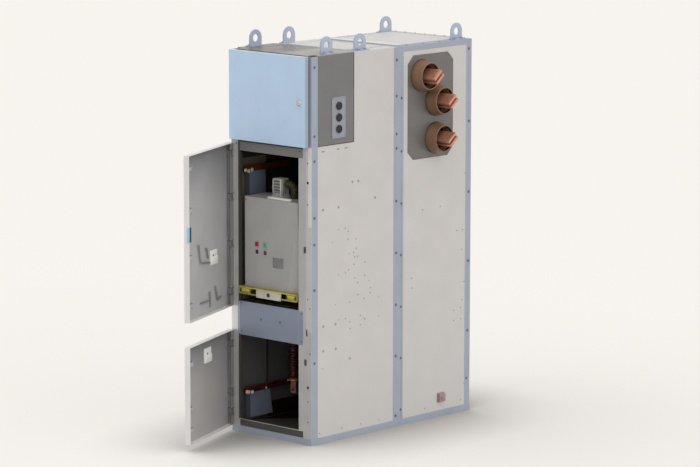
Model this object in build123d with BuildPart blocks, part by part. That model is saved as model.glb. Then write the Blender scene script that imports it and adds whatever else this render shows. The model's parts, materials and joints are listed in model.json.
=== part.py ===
from build123d import *
from math import cos, radians, sin
import os

os.makedirs("parts", exist_ok=True)

# Driving dimensions, millimetres and degrees
width = 650.0
depth = 1420.0
height = 2300.0
front_depth = 732.0

sheet = 2.0
seam = 0.5
seat = 0.3

plinth_height = 40.0
plinth_flange = 48.0
plinth_sheet = 3.0
anchor_hole = 14.0
anchor_inset = 26.0

front_post_face = 55.0
split_post_face = 17.0
rear_section_post_face = 54.0
rear_post_face = 50.0
post_flange = 38.0
post_lip = 15.0
panel_fold = 14.0
roof_rail_height = 34.0
roof_frame_flange = 65.0
flap_sheet = 2.0
flap_overlap = 25.0
front_flap_width = 500.0
front_flap_start = 395.0
front_flap_stop = 705.0
rear_flap_margin = 50.0

stile_face = 66.0
stile_return = 24.0
jamb_strip = 36.0

sill_bottom = 42.0
sill_top = 82.0
middle_panel_bottom = 595.0
middle_panel_top = 797.0
top_rail_bottom = 1702.0
top_rail_top = 1756.0
rail_fold = 20.0

lv_bottom = 1770.0
lv_top = 2304.0
lv_back = 366.0
lv_plate_width = 560.0
lv_plate_height = 470.0
lv_plate_stand = 30.0
lv_plate_inset = 30.0
lv_stud = 12.0
gland_plate_width = 115.0
gland_plate_height = 239.0
gland_plate_depth = 232.0
gland_plate_level = 1927.0
gland_overlap = 10.0
grommet_diameter = 44.0
grommet_bore = 20.0
grommet_pitch = 68.0

door_gap = 7.0
door_depth = 34.0
lv_door_depth = 28.0
door_sheet = 2.0
door_width = 640.0
door_open = 69.0
hinge_inset = 10.0
hinge_pin = 6.0
hinge_lug = 4.0
hinge_lug_width = 12.0
hinge_clearance = 6.0
upper_door_bottom = 765.0
upper_door_top = 1744.0
lower_door_bottom = 42.0
lower_door_top = 619.0
lv_door_width = 618.0
lv_door_top = 2300.0

shelf_level = 806.0
cell_depth = 640.0

truck_width = 470.0
truck_setback = -14.0
truck_top = 892.0
truck_height = 46.0
truck_depth = 430.0
cover_width = 440.0
cover_setback = 16.0
cover_depth = 190.0
cover_top = 1430.0
pole_pitch = 150.0
pole_diameter = 110.0

plate_from_split = 311.0
plate_drop = 378.0
plate_width = 412.0
plate_height = 630.0
plate_corner = 50.0
bushing_offsets = [(-80.0, 190.0), (51.0, 31.0), (49.0, -198.0)]
bushing_base = 185.0
bushing_mouth = 166.0
bushing_bore = 150.0
bushing_reach = 75.0
bushing_tail = 60.0
bar_width = 80.0
bar_thickness = 15.0
bar_gap = 15.0
bar_tilt = 40.0
bar_reach = 142.0
bar_tail = 200.0
bar_hole = 13.0

bar_hole_inset = 25.0
bar_hole_pitch = 40.0
plate_overlap = 18.0
plate_sheet = 3.0

stub_from_split = 418.0
stub_level = 118.0
stub_width = 52.0
stub_height = 46.0
stub_thickness = 6.0
stub_reach = 18.0
stub_tail = 60.0

track_gap = 3.0
track_height = 30.0
track_foot = 22.0
upper_arm_level = 1390.0
lower_arm_level = 1115.0
spout_bore = 96.0
spout_plate_margin = 105.0
spout_plate_sheet = 3.0

lv_lock_across = 260.0
lv_lock_level = 2030.0
lv_lock_diameter = 22.0
lv_lock_height = 6.0
hinge_block_width = 26.0
hinge_block_height = 34.0
lv_hinge_levels = [1850.0, 2220.0]
lug_width = 16.0
lug_height = 34.0
lug_inset = 45.0
upper_hinge_levels = [856.0, 1141.0, 1423.0, 1683.0]
upper_lug_levels = [862.0, 1145.0, 1421.0, 1666.0]
lower_hinge_levels = [125.0, 247.0, 539.0]
lower_lug_levels = [126.0, 251.0, 518.0]
pocket_width = 118.0
pocket_height = 100.0
pocket_depth = 10.0
upper_pocket_across = 217.0
upper_pocket_level = 1090.0
lower_pocket_across = 311.0
lower_pocket_level = 518.0
handle_level = 1282.0
handle_height = 86.0
handle_depth = 14.0
handle_stand = 5.0
door_lip = 44.0
lever_width = 9.0
lever_thickness = 5.0
lever_stand = 6.0
lever_paths = [
    [(456.0, 1192.0), (429.0, 1085.0), (298.0, 1068.0)],
    [(345.0, 1160.0), (318.0, 1100.0)],
    [(427.0, 846.0), (316.0, 843.0)],
    [(300.0, 891.0), (289.0, 805.0)],
    [(215.0, 912.0), (187.0, 827.0), (138.0, 841.0)],
]

truck_sheet = 3.0
truck_plate_width = 199.0
truck_plate_height = 48.0
truck_plate_across = 10.0
truck_plate_level = 862.0
truck_plate_sheet = 3.0
crank_hole = 22.0
recess_width = 40.0
recess_height = 30.0
recess_gap = 4.0
wheel_inset = 60.0
wheel_width = 16.0
wheel_diameter = 42.0
axle_diameter = 10.0
cover_radius = 12.0
cover_sheet = 3.0
facet_top = 1370.0
facet_width = 82.0
facet_depth = 25.0
control_columns = [-112.0, -45.0]
button_level = 1152.0
button_size = 30.0
button_stand = 5.0
window_level = 1106.0
window_size = 26.0
window_stand = 1.5
grip_across = 50.0
grip_width = 185.0
grip_setback = 14.0
grip_depth = 20.0
grip_height = 10.0
pole_gap = 12.0
pole_top = 1480.0
arm_diameter = 48.0
arm_length = 120.0
tulip_diameter = 66.0
tulip_length = 42.0
plug_across = -24.0
plug_width = 84.0
plug_depth = 60.0
plug_height = 115.0
plug_setback = 75.0
hose_diameter = 46.0
hose_across = 66.0
hose_rise = 40.0
hose_bend = 42.0
spout_base = 140.0
spout_reach = 90.0
spout_tail = 40.0
spout_flange = 16.0
spout_wall = 6.0
column_diameter = 76.0
column_depth = 370.0
column_foot = 290.0
lug_bar_width = 40.0
lug_bar_sheet = 8.0
lug_bar_length = 95.0
lug_bar_hole = 13.0
bracket_stand = 25.0
earth_bar_height = 36.0
earth_bar_sheet = 8.0
lower_bracket_start = 95.0
lower_bracket_stop = 290.0
lower_bracket_toe = 30.0
lower_bracket_foot = 62.0
lower_bar_level = 236.0
lower_bar_start = 60.0
lower_bar_stop = 470.0
upper_bracket_start = 106.0
upper_bracket_stop = 262.0
upper_bracket_foot = 1419.0
upper_bar_level = 1577.0
upper_bar_start = 72.0
upper_bar_stop = 460.0

eye_width = 100.0
eye_height = 100.0
eye_thickness = 8.0
eye_hole = 46.0
eye_inset = 34.0
eye_foot = 30.0
eye_foot_sheet = 5.0
eye_depths = [167.0, 455.0, 1318.0]

# Places worked out from the driving dimensions
side = width / 2
front = -depth / 2
back = depth / 2
section_line = front + front_depth
inner_side = side - sheet


def depth_at(distance):
    """Y of a point that lies this far behind the front plane."""
    return front + distance


def folded(points, thickness):
    """Section of a folded sheet: the line of its skin, thickened to its left."""
    with BuildSketch(mode=Mode.PRIVATE) as section:
        with BuildLine():
            Polyline(*points)
            offset(amount=thickness, side=Side.LEFT, kind=Kind.INTERSECTION)
        make_face()
    return section.sketch


def post_section(corner_y, inward, face):
    """Section of a right-hand post: its outer corner at corner_y, its face running inward."""
    skin = [
        (side - post_flange, corner_y),
        (side, corner_y),
        (side, corner_y + inward * face),
        (side - post_lip, corner_y + inward * face),
    ]
    if inward < 0:
        skin.reverse()
    return folded(skin, sheet)


# Plinth: channels with mitred corners, open towards the inside
mitre = plinth_flange + 1
channel = [
    (side - plinth_flange, 0),
    (side, 0),
    (side, plinth_height),
    (side - plinth_flange, plinth_height),
]
with BuildPart() as plinth_sides:
    with BuildSketch(Plane.XZ.offset(-back)):
        add(folded(channel, plinth_sheet))
    extrude(amount=depth)
    with BuildSketch(Plane.XY):
        for end in (1, -1):
            with BuildLine():
                Polyline(
                    (side, end * (back - seat)),
                    (side - mitre, end * (back - seat - mitre)),
                    (side - mitre, end * (back + 1)),
                    (side, end * (back + 1)),
                    close=True,
                )
            make_face()
    extrude(amount=plinth_height, mode=Mode.SUBTRACT)
    for row in (front + 2 * anchor_inset, back - 2 * anchor_inset):
        with Locations((side - anchor_inset, row)):
            Cylinder(anchor_hole / 2, 4 * plinth_height, mode=Mode.SUBTRACT)
    mirror(about=Plane.YZ)
plinth_sides.part.label = "plinth_sides"
export_step(plinth_sides.part, "parts/plinth_sides.step")

end_channel = [(across - side + back, level) for across, level in channel]
with BuildPart() as plinth_ends:
    with BuildSketch(Plane.YZ.offset(-side)):
        add(folded(end_channel, plinth_sheet))
    extrude(amount=width)
    with BuildSketch(Plane.XY):
        for end in (1, -1):
            with BuildLine():
                Polyline(
                    (end * side, back - seat),
                    (end * (side - mitre), back - seat - mitre),
                    (end * (side + 1), back - seat - mitre),
                    (end * (side + 1), back),
                    close=True,
                )
            make_face()
    extrude(amount=plinth_height, mode=Mode.SUBTRACT)
    mirror(about=Plane.XZ)
plinth_ends.part.label = "plinth_ends"
export_step(plinth_ends.part, "parts/plinth_ends.step")

# Posts of the front section, from the plinth to the roof
with BuildPart() as front_section_posts:
    with BuildSketch(Plane.XY.offset(plinth_height)):
        add(post_section(front + sheet, 1, front_post_face - sheet))
        add(post_section(section_line - seam / 2, -1, split_post_face))
    extrude(amount=height - plinth_height - sheet)
    mirror(about=Plane.YZ)
front_section_posts.part.label = "front_section_posts"
export_step(front_section_posts.part, "parts/front_section_posts.step")

# Posts of the rear section, up to the blue roof rail
rear_post_top = height - roof_rail_height
with BuildPart() as rear_section_posts:
    with BuildSketch(Plane.XY.offset(plinth_height)):
        add(post_section(section_line + seam / 2, 1, rear_section_post_face))
        add(post_section(back - sheet, -1, rear_post_face - sheet))
    extrude(amount=rear_post_top - plinth_height)
    mirror(about=Plane.YZ)
rear_section_posts.part.label = "rear_section_posts"
export_step(rear_section_posts.part, "parts/rear_section_posts.step")

# Roof frame of the rear section: angles along the sides, joined by flat cross members
frame_level = height - flap_sheet
rail_skin = [
    (side - roof_frame_flange, frame_level),
    (side, frame_level),
    (side, rear_post_top),
    (side - post_lip, rear_post_top),
][::-1]
with BuildPart() as roof_rails:
    with BuildSketch(Plane.XZ.offset(-(back - sheet))):
        add(folded(rail_skin, sheet))
    extrude(amount=back - sheet - section_line - seam / 2)
    mirror(about=Plane.YZ)
    with BuildSketch(Plane.XY.offset(frame_level - sheet)):
        for row in (section_line + seam / 2 + roof_frame_flange / 2, back - sheet - roof_frame_flange / 2):
            with Locations((0, row)):
                Rectangle(width - 2 * sheet, roof_frame_flange)
    extrude(amount=sheet)
roof_rails.part.label = "roof_rails"
export_step(roof_rails.part, "parts/roof_rails.step")

# Side panels: dished sheets that fill the sides between the posts
panel_front = depth_at(front_post_face) + seam
panel_rear = section_line - seam / 2 - split_post_face - seam
behind_box = depth_at(lv_back) + seam
rear_panel_front = section_line + seam / 2 + rear_section_post_face + seam
rear_panel_rear = back - rear_post_face - seam
with BuildSketch() as front_panel_outline:
    with BuildLine():
        Polyline(
            (panel_front, plinth_height),
            (panel_rear, plinth_height),
            (panel_rear, height - sheet),
            (behind_box, height - sheet),
            (behind_box, lv_bottom - seam),
            (panel_front, lv_bottom - seam),
            close=True,
        )
    make_face()
with BuildSketch() as rear_panel_outline:
    with BuildLine():
        Polyline(
            (rear_panel_front, plinth_height),
            (rear_panel_rear, plinth_height),
            (rear_panel_rear, rear_post_top - seam),
            (rear_panel_front, rear_post_top - seam),
            close=True,
        )
    make_face()


def side_sheet(outline):
    """Dished sheet on the right side, its face flush with the posts."""
    with BuildPart(mode=Mode.PRIVATE) as panel:
        with BuildSketch(Plane.YZ.offset(side - panel_fold)):
            add(outline)
        extrude(amount=panel_fold)
        with BuildSketch(Plane.YZ.offset(side - panel_fold)):
            add(outline)
            offset(amount=-sheet, kind=Kind.INTERSECTION, mode=Mode.REPLACE)
        extrude(amount=panel_fold - sheet, mode=Mode.SUBTRACT)
    return panel.part


with BuildPart() as front_side_panel:
    add(side_sheet(front_panel_outline.sketch))
front_side_panel.part.label = "front_side_panel"
export_step(front_side_panel.part, "parts/front_side_panel.step")

plate_y = section_line + plate_from_split
plate_centre_level = height - plate_drop
stub_y = section_line + stub_from_split
with BuildPart() as rear_side_panel:
    add(side_sheet(rear_panel_outline.sketch))
    with BuildSketch(Plane.YZ.offset(side - panel_fold)):
        with Locations((plate_y, plate_centre_level)):
            window = Rectangle(plate_width, plate_height)
        chamfer(window.vertices(), plate_corner)
        with Locations((stub_y - stub_width / 2 + stub_thickness / 2, stub_level)):
            Rectangle(stub_thickness + 2 * seat, stub_height + 2 * seat)
    extrude(amount=panel_fold, mode=Mode.SUBTRACT)
rear_side_panel.part.label = "rear_side_panel"
export_step(rear_side_panel.part, "parts/rear_side_panel.step")

with BuildPart() as left_side_panels:
    add(mirror(side_sheet(front_panel_outline.sketch), about=Plane.YZ))
    add(mirror(side_sheet(rear_panel_outline.sketch), about=Plane.YZ))
left_side_panels.part.label = "left_side_panels"
export_step(left_side_panels.part, "parts/left_side_panels.step")

# Rear covers: an upper and a lower sheet screwed to the rear posts
rear_cover_split = plinth_height + (height - sheet - plinth_height) / 2
rear_cover_spans = [(plinth_height, rear_cover_split - seam / 2), (rear_cover_split + seam / 2, height - sheet)]
with BuildPart() as rear_covers:
    for bottom, top in rear_cover_spans:
        with BuildSketch(Plane.XZ.offset(-back)):
            with Locations((0, (bottom + top) / 2)):
                Rectangle(width, top - bottom)
        extrude(amount=sheet)
rear_covers.part.label = "rear_covers"
export_step(rear_covers.part, "parts/rear_covers.step")

# Roof of the front section, behind the low-voltage box, with its relief opening
front_flap_centre = depth_at((front_flap_start + front_flap_stop) / 2)
front_flap_depth = front_flap_stop - front_flap_start
with BuildPart() as roof_sheets:
    with BuildSketch(Plane.XY.offset(height - sheet)):
        with Locations((0, (behind_box + section_line - seam / 2) / 2)):
            Rectangle(width, section_line - seam / 2 - behind_box)
        with Locations((0, front_flap_centre)):
            opening_size = (front_flap_width - 2 * flap_overlap, front_flap_depth - 2 * flap_overlap)
            Rectangle(*opening_size, mode=Mode.SUBTRACT)
    extrude(amount=sheet)
roof_sheets.part.label = "roof_sheets"
export_step(roof_sheets.part, "parts/roof_sheets.step")

# Relief flaps: sheets screwed over the roof openings of both sections
rear_flap_depth = back - section_line - 2 * rear_flap_margin
with BuildPart() as relief_flaps:
    with BuildSketch(Plane.XY.offset(height)):
        with Locations((0, front_flap_centre)):
            Rectangle(front_flap_width, front_flap_depth)
    extrude(amount=flap_sheet)
    with BuildSketch(Plane.XY.offset(frame_level)):
        with Locations((0, (section_line + back) / 2)):
            Rectangle(width - 2 * rear_flap_margin, rear_flap_depth)
    extrude(amount=flap_sheet)
relief_flaps.part.label = "relief_flaps"
export_step(relief_flaps.part, "parts/relief_flaps.step")

# Lifting eyes: rounded plates on a bolted foot, three along each side
eye_places = list(zip(eye_depths, (lv_top, height, frame_level)))
eye_across = side - eye_inset
foot_across = eye_across + (eye_foot - eye_thickness) / 2
with BuildPart() as lifting_eyes:
    for along, level in eye_places:
        with BuildSketch(Plane.YZ.offset(eye_across)):
            with Locations((depth_at(along), level + (eye_height - eye_width / 2) / 2)):
                Rectangle(eye_width, eye_height - eye_width / 2)
            with Locations((depth_at(along), level + eye_height - eye_width / 2)):
                Circle(eye_width / 2)
                Circle(eye_hole / 2, mode=Mode.SUBTRACT)
        extrude(amount=-eye_thickness)
        with Locations((foot_across, depth_at(along), level + eye_foot_sheet / 2)):
            Box(eye_foot + eye_thickness, eye_width, eye_foot_sheet)
    mirror(about=Plane.YZ)
lifting_eyes.part.label = "lifting_eyes"
export_step(lifting_eyes.part, "parts/lifting_eyes.step")

# Front frame: stiles, rails and the fixed panel between the two doors
frame_left = -side + stile_face
frame_right = side - stile_face
with BuildPart() as front_stiles:
    with BuildSketch(Plane.XY.offset(plinth_height)):
        stile_skin = [(-side, front), (frame_left, front), (frame_left, front + stile_return)]
        add(folded(stile_skin, sheet))
    extrude(amount=lv_bottom - seam - plinth_height)
    mirror(about=Plane.YZ)
front_stiles.part.label = "front_stiles"
export_step(front_stiles.part, "parts/front_stiles.step")

frame_width = frame_right - frame_left


def front_beam(bottom, top, setback, fold):
    """Dished beam between the stiles, its face this far behind the front plane."""
    with BuildPart(mode=Mode.PRIVATE) as beam:
        with BuildSketch(Plane.XZ.offset(-front - setback)):
            with Locations(((frame_left + frame_right) / 2, (bottom + top) / 2)):
                Rectangle(frame_width - 2 * seat, top - bottom)
        extrude(amount=-fold)
        with BuildSketch(Plane.XZ.offset(-front - setback - sheet)):
            with Locations(((frame_left + frame_right) / 2, (bottom + top) / 2)):
                Rectangle(frame_width - 2 * seat - 2 * sheet, top - bottom - 2 * sheet)
        extrude(amount=-fold, mode=Mode.SUBTRACT)
    return beam.part


with BuildPart() as bottom_sill:
    add(front_beam(sill_bottom, sill_top, 0, rail_fold))
bottom_sill.part.label = "bottom_sill"
export_step(bottom_sill.part, "parts/bottom_sill.step")

with BuildPart() as middle_panel:
    add(front_beam(middle_panel_bottom, middle_panel_top, 0, rail_fold))
middle_panel.part.label = "middle_panel"
export_step(middle_panel.part, "parts/middle_panel.step")

jamb_edge = frame_right - jamb_strip
cell_centre = (frame_left + jamb_edge) / 2
with BuildPart() as lock_jambs:
    for bottom, top in ((sill_top, middle_panel_bottom), (middle_panel_top, top_rail_bottom)):
        with BuildSketch(Plane.XY.offset(bottom + seat)):
            jamb_skin = [
                (frame_right - seat, front + stile_return),
                (frame_right - seat, front),
                (jamb_edge, front),
                (jamb_edge, front + stile_return),
            ]
            add(folded(jamb_skin[::-1], sheet))
        extrude(amount=top - bottom - 2 * seat)
lock_jambs.part.label = "lock_jambs"
export_step(lock_jambs.part, "parts/lock_jambs.step")

with BuildPart() as top_rail:
    add(front_beam(top_rail_bottom, top_rail_top, 0, rail_fold))
top_rail.part.label = "top_rail"
export_step(top_rail.part, "parts/top_rail.step")

# Low-voltage box: a sheet case behind its own door, open to the front
lv_neck = side - post_flange
gland_y = depth_at(gland_plate_depth)
with BuildPart() as lv_box:
    with BuildSketch(Plane.XZ.offset(-depth_at(lv_back))):
        with Locations((0, (lv_bottom + lv_top) / 2)):
            Rectangle(width, lv_top - lv_bottom)
    extrude(amount=lv_back - front_post_face - seam)
    with BuildSketch(Plane.XZ.offset(-depth_at(front_post_face + seam))):
        with Locations((0, (lv_bottom + lv_top) / 2)):
            Rectangle(2 * (lv_neck - seam), lv_top - lv_bottom)
    extrude(amount=front_post_face + seam)
    with BuildSketch(Plane.XZ.offset(-depth_at(lv_back - sheet))):
        with Locations((0, (lv_bottom + lv_top) / 2)):
            Rectangle(width - 2 * sheet, lv_top - lv_bottom - 2 * sheet)
    extrude(amount=lv_back - front_post_face - seam - 2 * sheet, mode=Mode.SUBTRACT)
    with BuildSketch(Plane.XZ.offset(-depth_at(lv_back / 2))):
        with Locations((0, (lv_bottom + lv_top) / 2)):
            Rectangle(2 * (lv_neck - seam - sheet), lv_top - lv_bottom - 2 * sheet)
    extrude(amount=lv_back, mode=Mode.SUBTRACT)
    with BuildSketch(Plane.YZ.offset(side / 2)):
        with Locations((gland_y, gland_plate_level)):
            Rectangle(gland_plate_width - 2 * gland_overlap, gland_plate_height - 2 * gland_overlap)
    extrude(amount=side, mode=Mode.SUBTRACT)
lv_box.part.label = "lv_box"
export_step(lv_box.part, "parts/lv_box.step")

grommet_levels = [gland_plate_level + step * grommet_pitch for step in (-1, 0, 1)]
with BuildPart() as lv_gland_plate:
    with BuildSketch(Plane.YZ.offset(side)):
        with Locations((gland_y, gland_plate_level)):
            Rectangle(gland_plate_width, gland_plate_height)
        with Locations(*[(gland_y, level) for level in grommet_levels]):
            Circle(grommet_diameter / 2 - 4, mode=Mode.SUBTRACT)
    extrude(amount=sheet)
lv_gland_plate.part.label = "lv_gland_plate"
export_step(lv_gland_plate.part, "parts/lv_gland_plate.step")

with BuildPart() as lv_grommets:
    for level in grommet_levels:
        with BuildSketch(Plane.XZ.offset(-gland_y)):
            with BuildLine():
                Polyline(
                    (side - 6, level + grommet_bore / 2),
                    (side - 6, level + grommet_diameter / 2 - 5),
                    (side + sheet + seat, level + grommet_diameter / 2 - 5),
                    (side + sheet + seat, level + grommet_diameter / 2),
                    (side + sheet + 4, level + grommet_diameter / 2 - 1),
                    (side + sheet + 7, level + grommet_bore / 2 + 4),
                    (side + sheet + 7, level + grommet_bore / 2),
                    close=True,
                )
            make_face()
        revolve(axis=Axis((0, gland_y, level), (1, 0, 0)))
lv_grommets.part.label = "lv_grommets"
export_step(lv_grommets.part, "parts/lv_grommets.step")

stud_grid = (lv_plate_width - 2 * lv_plate_inset, lv_plate_height - 2 * lv_plate_inset)
with BuildPart() as lv_mounting_plate:
    with BuildSketch(Plane.XZ.offset(-depth_at(lv_back - sheet - lv_plate_stand))):
        with Locations((0, (lv_bottom + lv_top) / 2)):
            Rectangle(lv_plate_width, lv_plate_height)
    extrude(amount=sheet)
    with BuildSketch(Plane.XZ.offset(-depth_at(lv_back - sheet))):
        with Locations((0, (lv_bottom + lv_top) / 2)):
            with GridLocations(*stud_grid, 2, 2):
                Circle(lv_stud / 2)
    extrude(amount=lv_plate_stand)
lv_mounting_plate.part.label = "lv_mounting_plate"
export_step(lv_mounting_plate.part, "parts/lv_mounting_plate.step")

# Bushing plate: bolted from inside behind the octagonal window of the rear side panel
bushing_places = [(plate_y + along, plate_centre_level + rise) for along, rise in bushing_offsets]
with BuildPart() as bushing_plate:
    with BuildSketch(Plane.YZ.offset(side - sheet)):
        with Locations((plate_y, plate_centre_level)):
            Rectangle(plate_width + 2 * plate_overlap, plate_height + 2 * plate_overlap)
        with Locations(*bushing_places):
            Circle(bushing_bore / 2 + 4, mode=Mode.SUBTRACT)
    extrude(amount=-plate_sheet)
bushing_plate.part.label = "bushing_plate"
export_step(bushing_plate.part, "parts/bushing_plate.step")

# Busbar bushings: resin rings with a slotted web that holds the bars
web_thickness = 12.0
base_height = 16.0
base_round = 8.0
rim_round = 3.0
ring_foot = side - sheet
ring_tail = ring_foot - plate_sheet - bushing_tail
shoulder_x = ring_foot + base_height
bar_pitch = bar_thickness + bar_gap
bar_offsets = [(0, -bar_pitch / 2), (0, bar_pitch / 2)]


def bar_sections(clearance):
    """The two bar sections of one phase, tilted about the busbar axis."""
    with BuildSketch(mode=Mode.PRIVATE) as sections:
        with Locations(*bar_offsets):
            Rectangle(bar_width + 2 * clearance, bar_thickness + 2 * clearance)
    return sections.sketch.rotate(Axis.Z, bar_tilt)


with BuildPart() as busbar_bushings:
    for along, level in bushing_places:
        with BuildSketch(Plane.XZ.offset(-along)) as ring_section:
            with BuildLine():
                Polyline(
                    (ring_tail, level + bushing_bore / 2 - 6),
                    (ring_tail, level + bushing_bore / 2 + 3),
                    (ring_foot, level + bushing_bore / 2 + 3),
                    (ring_foot, level + bushing_base / 2),
                    (shoulder_x, level + bushing_base / 2),
                    (side + bushing_reach, level + bushing_mouth / 2),
                    (side + bushing_reach, level + bushing_bore / 2),
                    (ring_foot + web_thickness, level + bushing_bore / 2 - 6),
                    (ring_foot + web_thickness, level),
                    (ring_foot, level),
                    (ring_foot, level + bushing_bore / 2 - 6),
                    close=True,
                )
            make_face()
            corners = ring_section.vertices()
            shoulder = corners.filter_by_position(Axis.X, shoulder_x - 1, shoulder_x + 1)
            fillet(shoulder, base_round)
            corners = ring_section.vertices()
            rim = corners.filter_by_position(Axis.X, side + bushing_reach - 1, side + bushing_reach + 1)
            fillet(rim, rim_round)
        revolve(axis=Axis((0, along, level), (1, 0, 0)))
        with BuildSketch(Plane.YZ.offset(ring_foot)):
            with Locations((along, level)):
                add(bar_sections(seat))
        extrude(amount=web_thickness, mode=Mode.SUBTRACT)
busbar_bushings.part.label = "busbar_bushings"
export_step(busbar_bushings.part, "parts/busbar_bushings.step")

# Busbars: two flat copper bars a phase, drilled at the end for the next cubicle
with BuildPart() as busbars:
    for along, level in bushing_places:
        with BuildSketch(Plane.YZ.offset(side - bar_tail)):
            with Locations((along, level)):
                add(bar_sections(0))
        extrude(amount=bar_tail + bar_reach)
        tip = Plane(
            origin=(side + bar_reach - bar_hole_inset, along, level),
            x_dir=(1, 0, 0),
            z_dir=(0, -sin(radians(bar_tilt)), cos(radians(bar_tilt))),
        )
        with Locations(tip):
            with Locations((0, -bar_hole_pitch / 2), (0, bar_hole_pitch / 2)):
                Cylinder(bar_hole / 2, 4 * bar_pitch, mode=Mode.SUBTRACT)
busbars.part.label = "busbars"
export_step(busbars.part, "parts/busbars.step")

# Earth terminal near the floor of the rear section
with BuildPart() as earth_stub:
    with BuildSketch(Plane.XY.offset(stub_level - stub_height / 2)):
        stub_skin = [
            (side - stub_tail, stub_y - stub_width / 2),
            (side + stub_reach, stub_y - stub_width / 2),
            (side + stub_reach, stub_y + stub_width / 2),
        ]
        add(folded(stub_skin, stub_thickness))
    extrude(amount=stub_height)
earth_stub.part.label = "earth_stub"
export_step(earth_stub.part, "parts/earth_stub.step")

# Floors: the sheet under the cable compartment and the shelf under the breaker
cell_back = depth_at(cell_depth)
floor_front = front + stile_return + sheet + seat
with BuildPart() as cable_floor:
    with BuildSketch(Plane.XY.offset(plinth_height)):
        with Locations((0, (floor_front + cell_back) / 2)):
            Rectangle(2 * (side - post_flange - seam), cell_back - floor_front)
    extrude(amount=sheet)
cable_floor.part.label = "cable_floor"
export_step(cable_floor.part, "parts/cable_floor.step")

shelf_reach = side - panel_fold - seat
with BuildPart() as breaker_shelf:
    with BuildSketch(Plane.XY.offset(shelf_level - sheet)):
        with Locations((0, (depth_at(front_post_face) + seam + cell_back) / 2)):
            Rectangle(2 * shelf_reach, cell_back - depth_at(front_post_face) - seam)
        with Locations((0, (floor_front + depth_at(front_post_face) + seam) / 2)):
            Rectangle(2 * (side - post_flange - seam), depth_at(front_post_face) + seam - floor_front)
    extrude(amount=sheet)
breaker_shelf.part.label = "breaker_shelf"
export_step(breaker_shelf.part, "parts/breaker_shelf.step")

with BuildPart() as truck_rails:
    for hand in (1, -1):
        guide = cell_centre + hand * (truck_width / 2 + track_gap)
        rail_angle = [
            (guide + hand * track_foot, shelf_level),
            (guide, shelf_level),
            (guide, shelf_level + track_height),
        ]
        if hand > 0:
            rail_angle.reverse()
        with BuildSketch(Plane.XZ.offset(-floor_front)):
            add(folded(rail_angle, sheet))
        extrude(amount=-(cell_back - floor_front - sheet))
truck_rails.part.label = "truck_rails"
export_step(truck_rails.part, "parts/truck_rails.step")

# Partition behind both compartments, with the plate that carries the contact spouts
spout_levels = [lower_arm_level, upper_arm_level]
spout_places = [(cell_centre + phase * pole_pitch, level) for phase in (-1, 0, 1) for level in spout_levels]
spout_plate_bottom = lower_arm_level - spout_plate_margin
spout_plate_top = upper_arm_level + spout_plate_margin
partition_bottom = plinth_height + sheet + seam
partition_top = height - sheet - seam
partition_spans = [(partition_bottom, spout_plate_bottom - seam), (spout_plate_top + seam, partition_top)]
with BuildPart() as rear_partition:
    for bottom, top in partition_spans:
        with BuildSketch(Plane.XZ.offset(-cell_back)):
            with Locations((0, (bottom + top) / 2)):
                Rectangle(2 * shelf_reach, top - bottom)
        extrude(amount=-sheet)
rear_partition.part.label = "rear_partition"
export_step(rear_partition.part, "parts/rear_partition.step")

with BuildPart() as spout_plate:
    with BuildSketch(Plane.XZ.offset(-cell_back)):
        with Locations((0, (spout_plate_bottom + spout_plate_top) / 2)):
            Rectangle(2 * shelf_reach, spout_plate_top - spout_plate_bottom)
        with Locations(*spout_places):
            Circle(spout_bore / 2, mode=Mode.SUBTRACT)
    extrude(amount=-spout_plate_sheet)
spout_plate.part.label = "spout_plate"
export_step(spout_plate.part, "parts/spout_plate.step")


# Doors: dished leaves hung on the left, drawn in place at their opening angle
def door_plane(span, level, opening):
    """Plane at the hinge pins: x along the leaf, y into the cubicle, z up."""
    turn = radians(opening)
    return Plane(
        origin=(hinge_inset - span / 2, front - door_gap - hinge_inset, level),
        x_dir=(cos(turn), -sin(turn), 0),
        z_dir=(0, 0, 1),
    )


def leaf_plane(hinge, inward):
    """Plane parallel to a leaf, its origin at the hinge edge: x along, y up, z outwards."""
    corner = hinge.origin - hinge.x_dir * hinge_inset + hinge.y_dir * (hinge_inset + inward)
    return Plane(origin=corner, x_dir=hinge.x_dir, z_dir=-hinge.y_dir)


def door_leaf(hinge, span, rise, thick, hinge_levels, lip):
    """Dished door sheet, folded back once more on the hinge side, notched for the hinge lugs."""
    with BuildPart(mode=Mode.PRIVATE) as leaf:
        with BuildSketch(leaf_plane(hinge, 0)):
            with Locations((span / 2, rise / 2)):
                Rectangle(span, rise)
        extrude(amount=thick)
        with BuildSketch(leaf_plane(hinge, 0)):
            with Locations((span / 2, rise / 2)):
                Rectangle(span - 2 * door_sheet, rise - 2 * door_sheet)
        extrude(amount=thick - door_sheet, mode=Mode.SUBTRACT)
        with BuildSketch(leaf_plane(hinge, 0)):
            with Locations((lip / 2, rise / 2)):
                Rectangle(lip, rise - 2 * door_sheet)
        extrude(amount=door_sheet)
        with BuildSketch(leaf_plane(hinge, 0)):
            for level in hinge_levels:
                with Locations((0, level - hinge.origin.Z)):
                    Rectangle(2 * (lip + 1), hinge_block_height + 2 * hinge_lug + hinge_clearance)
        extrude(amount=hinge_inset + hinge_lug_width, mode=Mode.SUBTRACT)
    return leaf.part


upper_hinge = door_plane(door_width, upper_door_bottom, door_open)
lower_hinge = door_plane(door_width, lower_door_bottom, door_open)
lv_hinge = door_plane(lv_door_width, lv_bottom, 0)
upper_rise = upper_door_top - upper_door_bottom
lower_rise = lower_door_top - lower_door_bottom
lv_rise = lv_door_top - lv_bottom

with BuildPart() as upper_door:
    add(door_leaf(upper_hinge, door_width, upper_rise, door_depth, upper_hinge_levels, door_lip))
upper_door.part.label = "upper_door"
export_step(upper_door.part, "parts/upper_door.step")

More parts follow.
